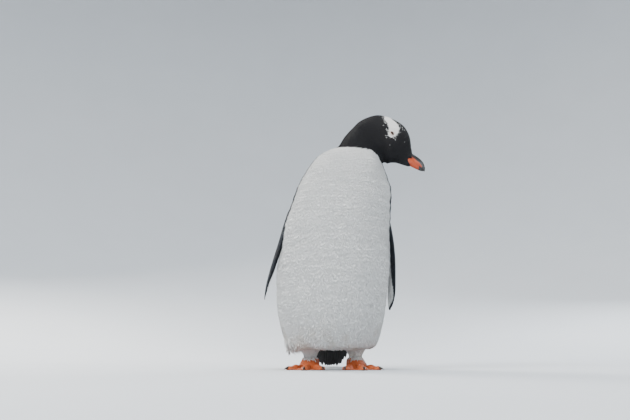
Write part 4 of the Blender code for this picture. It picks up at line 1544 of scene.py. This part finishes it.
def make_plumage_colour():
    """A group that gives the colour of feathers and of the down under them: white with a soiled
    lower belly, or slate with pale bluish tips, blacker on the head."""
    inputs = dict.fromkeys(("White", "Along", "Tone", "Patches"), 0.0)
    group, inside = new_group("plumage_colour", inputs, {"Colour": "Color"})
    white, along, tone, patches = list(inside.outputs)[:4]
    _, parts = place_nodes(group)
    high = ramp(group, parts[2], 0.37, 0.47)
    tips = calc(group, "MULTIPLY", ramp(group, along, 0.45, 0.95), calc(group, "ADD", 0.25, tone), clamp=True)
    dark = blend(group, high, SLATE, HEAD_BLACK)
    tip = blend(group, ramp(group, patches, 0.45, 0.70, 0.0, 0.7), SLATE_TIP, WORN_TIP)
    tip = blend(group, high, tip, HEAD_TIP)
    dark = blend(group, tips, dark, tip)
    shade = calc(group, "MULTIPLY", tone, 0.26)
    shade = calc(group, "ADD", shade, ramp(group, along, 0.5, 0.0, 0.0, 0.2), clamp=True)
    pale = blend(group, shade, WHITE, WHITE_SHADE)
    low = calc(group, "MULTIPLY", ramp(group, parts[2], 0.11, 0.03), ramp(group, patches, 0.42, 0.68))
    pale = blend(group, calc(group, "MULTIPLY", low, 0.55), pale, SOIL)
    out = group.nodes.new("NodeGroupOutput")
    put(group, out.inputs[0], blend(group, white, dark, pale))
    return group


def make_plumage(mottle, barbs, colours):
    """The short feathers."""
    made, tree, shader = new_material("plumage")
    plume = node(tree, "SeparateXYZ", Vector=mark(tree, "plume", "Vector")).outputs
    spots = group_node(tree, mottle, Size=0.03, Fine_Size=0.0012)
    marks = {"White": plume[0], "Along": plume[1], "Tone": plume[2]}
    colour = group_node(tree, colours, Patches=spots.outputs[0], **marks)
    put(tree, shader.inputs["Base Color"], colour.outputs[0])
    put(tree, shader.inputs["Roughness"], ramp(tree, plume[2], 0.0, 1.0, 0.60, 0.80))
    vane = node(tree, "SeparateXYZ", Vector=node(tree, "UVMap", {"uv_map": "Vane"}).outputs[0]).outputs
    ridges = group_node(tree, barbs, Across=vane[0], Along=vane[1], Count=14.0, Slant=0.6)
    bump(tree, shader, ridges.outputs[0], 0.35, 0.00012)
    shader.inputs["Specular IOR Level"].default_value = 0.2
    return made


def foot_colour(tree, height, patches, cells):
    """Orange-pink skin, paler on the scales' middles, dark under the sole."""
    skin = blend(tree, patches, *FOOT_SKIN)
    skin = blend(tree, ramp(tree, cells, 0.0, 0.12, 0.55, 0.0), skin, FOOT_CREASE)
    # The bare skin darkens to near black from 1.3 mm over the floor down to 0.5 mm.
    return blend(tree, ramp(tree, height, 0.0013, 0.0005), skin, SOLE_DARK)


def make_skin(mottle, colours):
    """The skin: thin down under the feathers, with the same markings as they have, scaled feet and
    the soft beaded lids."""
    made, tree, shader = new_material("skin")
    spot, parts = place_nodes(tree)
    spots = group_node(tree, mottle, Size=0.012, Fine_Size=0.0009)
    marks = {"White": mark(tree, "white"), "Along": DOWN_ALONG, "Tone": spots.outputs[1]}
    down = group_node(tree, colours, Patches=spots.outputs[0], **marks)
    cells = node(tree, "TexVoronoi", {"feature": "DISTANCE_TO_EDGE"}, Vector=spot, Scale=620.0)
    foot = foot_colour(tree, parts[2], spots.outputs[0], cells.outputs["Distance"])
    bare = mark(tree, "bare")
    lid = mark(tree, "lid")
    colour = blend(tree, bare, down.outputs[0], foot)
    ring = blend(tree, spots.outputs[1], *LID_SKIN)
    ring = blend(tree, ramp(tree, lid, 0.6, 0.95), ring, LID_RIM)
    colour = blend(tree, ramp(tree, lid, 0.2, 0.4), colour, ring)
    put(tree, shader.inputs["Base Color"], colour)
    put(tree, shader.inputs["Roughness"], ramp(tree, bare, 0.0, 1.0, 0.8, 0.5))
    scales = calc(tree, "MULTIPLY", ramp(tree, cells.outputs["Distance"], 0.0, 0.25), bare)
    height = calc(tree, "ADD", scales, calc(tree, "MULTIPLY", spots.outputs[1], 0.5))
    bump(tree, shader, height, 0.6, 0.0004)
    return made


def make_horn(mottle):
    """The bill: orange red with a black ridge and tip, and fine streaks along its length."""
    made, tree, shader = new_material("bill_horn")
    spot, _ = place_nodes(tree)
    lean = (0.0, -BILL_TILT, 0.0)
    turned = node(tree, "Mapping", Vector=spot, Rotation=lean, Scale=(60.0, 900.0, 900.0))
    streaks = node(tree, "TexNoise", Vector=turned.outputs[0], Scale=1.0, Detail=2.0).outputs["Fac"]
    spots = group_node(tree, mottle, Size=0.009, Fine_Size=0.0022)
    along = mark(tree, "along")
    orange = blend(tree, spots.outputs[0], *BILL_ORANGE)
    orange = blend(tree, ramp(tree, along, 0.35, 0.9, 0.0, 0.6), orange, BILL_FORE)
    orange = blend(tree, calc(tree, "MULTIPLY", streaks, 0.4), orange, BILL_STREAK)
    black = blend(tree, streaks, *BILL_BLACK)
    edge = calc(tree, "MULTIPLY", calc(tree, "SUBTRACT", streaks, 0.5), 0.3)
    split = ramp(tree, calc(tree, "ADD", mark(tree, "black"), edge), 0.38, 0.62)
    colour = blend(tree, split, orange, black)
    # The nostril slit is painted near black: painted shade standing in for the depth of its opening.
    hole = ramp(tree, mark(tree, "nostril"), 0.42, 0.58)
    colour = blend(tree, hole, colour, NOSTRIL_SHADE)
    put(tree, shader.inputs["Base Color"], colour)
    put(tree, shader.inputs["Roughness"], ramp(tree, spots.outputs[1], 0.3, 0.7, 0.26, 0.42))
    bump(tree, shader, streaks, 0.3, 0.0002)
    gloss = calc(tree, "MULTIPLY", calc(tree, "SUBTRACT", 1.0, hole), 0.25)
    put(tree, shader.inputs["Coat Weight"], gloss)
    shader.inputs["Coat Roughness"].default_value = 0.2
    return made


def make_eye():
    """The eye: black pupil, brown iris with fine rays, and a darker rim, under a wet gloss."""
    made, tree, shader = new_material("eye_wet")
    gaze = mark(tree, "gaze")
    around = mark(tree, "around")
    turn = calc(tree, "MULTIPLY", around, 60.0)
    turned = node(tree, "CombineXYZ", X=turn, Y=calc(tree, "MULTIPLY", gaze, 14.0))
    rays = node(tree, "TexNoise", Vector=turned.outputs[0], Scale=1.0, Detail=3.0).outputs["Fac"]
    iris = blend(tree, ramp(tree, rays, 0.35, 0.68), *IRIS)
    iris = blend(tree, ramp(tree, gaze, 0.16, 0.235), iris, IRIS_RIM)
    colour = blend(tree, ramp(tree, gaze, 0.083, 0.074), iris, PUPIL)
    put(tree, shader.inputs["Base Color"], colour)
    shader.inputs["Roughness"].default_value = 0.4
    shader.inputs["Specular IOR Level"].default_value = 0.0
    shader.inputs["Coat Weight"].default_value = 1.0
    shader.inputs["Coat Roughness"].default_value = 0.02
    bump(tree, shader, rays, 0.1, 0.0001)
    return made


def make_claw(mottle):
    """Black-brown horn, paler and more worn towards the point."""
    made, tree, shader = new_material("claw_horn")
    spots = group_node(tree, mottle, Size=0.004, Fine_Size=0.0006)
    along = mark(tree, "along")
    colour = blend(tree, spots.outputs[0], *CLAW_HORN)
    colour = blend(tree, ramp(tree, along, 0.75, 1.0, 0.0, 0.5), colour, CLAW_WORN)
    put(tree, shader.inputs["Base Color"], colour)
    put(tree, shader.inputs["Roughness"], ramp(tree, spots.outputs[1], 0.3, 0.7, 0.3, 0.5))
    bump(tree, shader, spots.outputs[1], 0.4, 0.0002)
    return made


def make_long_feather(name, barbs, mottle, web, shaft, worn_and_lit):
    """A long feather: webs with slanting barbs, a smoother shaft, a tip with wear, and painted light on the
    crests of the barbs.
    """
    made, tree, shader = new_material(name)
    across = mark(tree, "across")
    along = mark(tree, "along")
    ridges = group_node(tree, barbs, Across=across, Along=along, Count=120.0, Slant=0.05)
    spots = group_node(tree, mottle, Size=0.010, Fine_Size=0.001)
    middle = calc(tree, "ABSOLUTE", calc(tree, "SUBTRACT", across, 0.5))
    colour = blend(tree, ramp(tree, along, 0.72, 1.0, 0.0, 0.7), web, worn_and_lit)
    # Painted light on the barbs: each crest is mixed up to a fifth of the way to the tip colour. This is a
    # painted highlight on the dark feathers and painted shade on the pale ones.
    lit = calc(tree, "MULTIPLY", ramp(tree, ridges.outputs[0], -1.0, 1.0), 0.2)
    colour = blend(tree, lit, colour, worn_and_lit)
    colour = blend(tree, ramp(tree, middle, 0.09, 0.05), colour, shaft)
    colour = blend(tree, calc(tree, "MULTIPLY", spots.outputs[0], 0.3), colour, worn_and_lit)
    put(tree, shader.inputs["Base Color"], colour)
    put(tree, shader.inputs["Roughness"], ramp(tree, middle, 0.05, 0.09, 0.45, 0.7))
    shader.inputs["Specular IOR Level"].default_value = 0.2
    bump(tree, shader, ridges.outputs[0], 0.3, 0.00015)
    return made


# --- stage


FLOOR_COLUMNS = 128
FLOOR_CURVE_ROWS = 40
FLOOR_RINGS = (10.0, 500.0)
FLOOR_FLAT = 1000.0
FLOOR_CURVE = 3500.0
WALL_TOP = 6500.0
PAPER = ((0.50, 0.53, 0.56), (0.54, 0.57, 0.60))


def make_floor_paper():
    """Pale matt paper."""
    made, tree, shader = new_material("floor_paper")
    spot = node(tree, "TexCoord").outputs["Object"]
    noise = node(tree, "TexNoise", Vector=spot, Scale=3.0, Detail=4.0)
    put(tree, shader.inputs["Base Color"], blend(tree, noise.outputs["Fac"], *PAPER))
    shader.inputs["Roughness"].default_value = 0.85
    return made


def add_stage():
    """A round floor that curves up into a wall on all sides: a profile of a straight, a quarter
    circle and a straight, turned about the vertical."""
    turn = np.linspace(0, math.pi / 2, FLOOR_CURVE_ROWS)
    wall = FLOOR_FLAT + FLOOR_CURVE
    reach = np.concatenate([FLOOR_RINGS, FLOOR_FLAT + FLOOR_CURVE * np.sin(turn), [wall]])
    height = np.concatenate([[0.0, 0.0], FLOOR_CURVE * (1 - np.cos(turn)), [WALL_TOP]])
    around = turns(np.arange(FLOOR_COLUMNS), FLOOR_COLUMNS)
    ring = np.stack([np.cos(around), np.sin(around), 0 * around], axis=-1)
    grid = reach[:, None, None] * ring + height[:, None, None] * np.array([0.0, 0.0, 1.0])
    centre = np.zeros((1, 3))
    j = np.arange(FLOOR_COLUMNS)
    middle = np.full(FLOOR_COLUMNS, len(reach) * FLOOR_COLUMNS)
    fan = np.stack([j, (j + 1) % FLOOR_COLUMNS, middle], axis=-1)
    faces = [grid_faces(len(reach), FLOOR_COLUMNS)[:, ::-1], fan]
    mesh = fill_mesh("floor", np.vstack([grid.reshape(-1, 3), centre]), faces)
    mesh.materials.append(make_floor_paper())
    floor = bpy.data.objects.new("floor", mesh)
    bpy.context.scene.collection.objects.link(floor)


def aim(item, place, target):
    """Puts a lamp or camera at a place, looking at a target."""
    forward = unit(np.asarray(target, float) - np.asarray(place, float))
    right = unit(np.cross(forward, (0.0, 0.0, 1.0)))
    up = np.cross(right, forward)
    turned = np.eye(4)
    turned[:3, :3] = np.stack([right, up, -forward], axis=1)
    turned[:3, 3] = place
    item.matrix_world = Matrix(turned)


def add_lamp(name, place, target, size, power, colour):
    """A square soft lamp."""
    data = bpy.data.lights.new(name, "AREA")
    data.shape = "SQUARE"
    data.size = size
    data.energy = power
    data.color = colour
    lamp = bpy.data.objects.new(name, data)
    bpy.context.scene.collection.objects.link(lamp)
    aim(lamp, place, target)


CHEST = (-0.03, -0.05, 0.28)
# Each lamp: its name, its place, what it looks at, its size, its power and its colour.
LAMPS = (
    ("key", (-2.0, -1.7, 1.8), CHEST, 1.3, 105, (1.0, 0.98, 0.95)),
    ("fill", (2.0, -1.6, 1.5), CHEST, 1.5, 24, (0.92, 0.96, 1.0)),
    ("edge_left", (-1.5, 1.3, 1.5), CHEST, 0.8, 75, (1.0, 0.95, 0.88)),
    ("edge_right", (1.4, 1.5, 1.1), CHEST, 0.8, 30, (0.95, 0.97, 1.0)),
    ("overhead", (0.0, 0.1, 4.4), (0.0, 0.0, 0.0), 3.2, 230, (0.98, 0.99, 1.0)),
)
SURROUND = (0.80, 0.87, 0.95, 1.0)
SURROUND_STRENGTH = 0.35


def add_light():
    """A large key lamp from the front left, a fill from the right, two lamps behind that edge the
    bird with light, one overhead for the room, and a pale surround."""
    for lamp in LAMPS:
        add_lamp(*lamp)
    world = bpy.data.worlds.new("surround")
    world.use_nodes = True
    sky = world.node_tree.nodes["Background"]
    sky.inputs["Color"].default_value = SURROUND
    sky.inputs["Strength"].default_value = SURROUND_STRENGTH
    bpy.context.scene.world = world


CAMERA_PLACE = (-0.066, -1.39, 0.045)
CAMERA_TARGET = (-0.066, -0.04, 0.335)
CAMERA_LENS = 36.4


def add_camera():
    """The camera, low in front of the bird and looking up at it."""
    data = bpy.data.cameras.new("camera")
    data.lens = CAMERA_LENS
    data.sensor_width = 36.0
    camera = bpy.data.objects.new("camera", data)
    bpy.context.scene.collection.objects.link(camera)
    aim(camera, CAMERA_PLACE, CAMERA_TARGET)
    bpy.context.scene.camera = camera


def main():
    """Makes every piece of the bird, then the stage, the lamps and the camera."""
    mottle = make_mottle()
    barbs = make_barbs()
    colours = make_plumage_colour()
    plumage = make_plumage(mottle, barbs, colours)
    add_skin(make_skin(mottle, colours))
    add_body_coat(plumage)
    add_flipper_coat("right_flipper_feathers", RIGHT_FLIPPER, -1, plumage)
    add_flipper_coat("left_flipper_feathers", LEFT_FLIPPER, 1, plumage)
    for side, outward in (("right", -1), ("left", 1)):
        add_leg_coat(side + "_leg_feathers", outward, plumage)
    add_claws(make_claw(mottle))
    add_bill(make_horn(mottle))
    add_eyes(make_eye())
    dark = make_long_feather("tail_web", barbs, mottle, *TAIL_DARK)
    pale = make_long_feather("under_web", barbs, mottle, WHITE, TAIL_PALE_SHAFT, WHITE_SHADE)
    add_tail(dark, pale, plumage)
    add_stage()
    add_light()
    add_camera()


main()
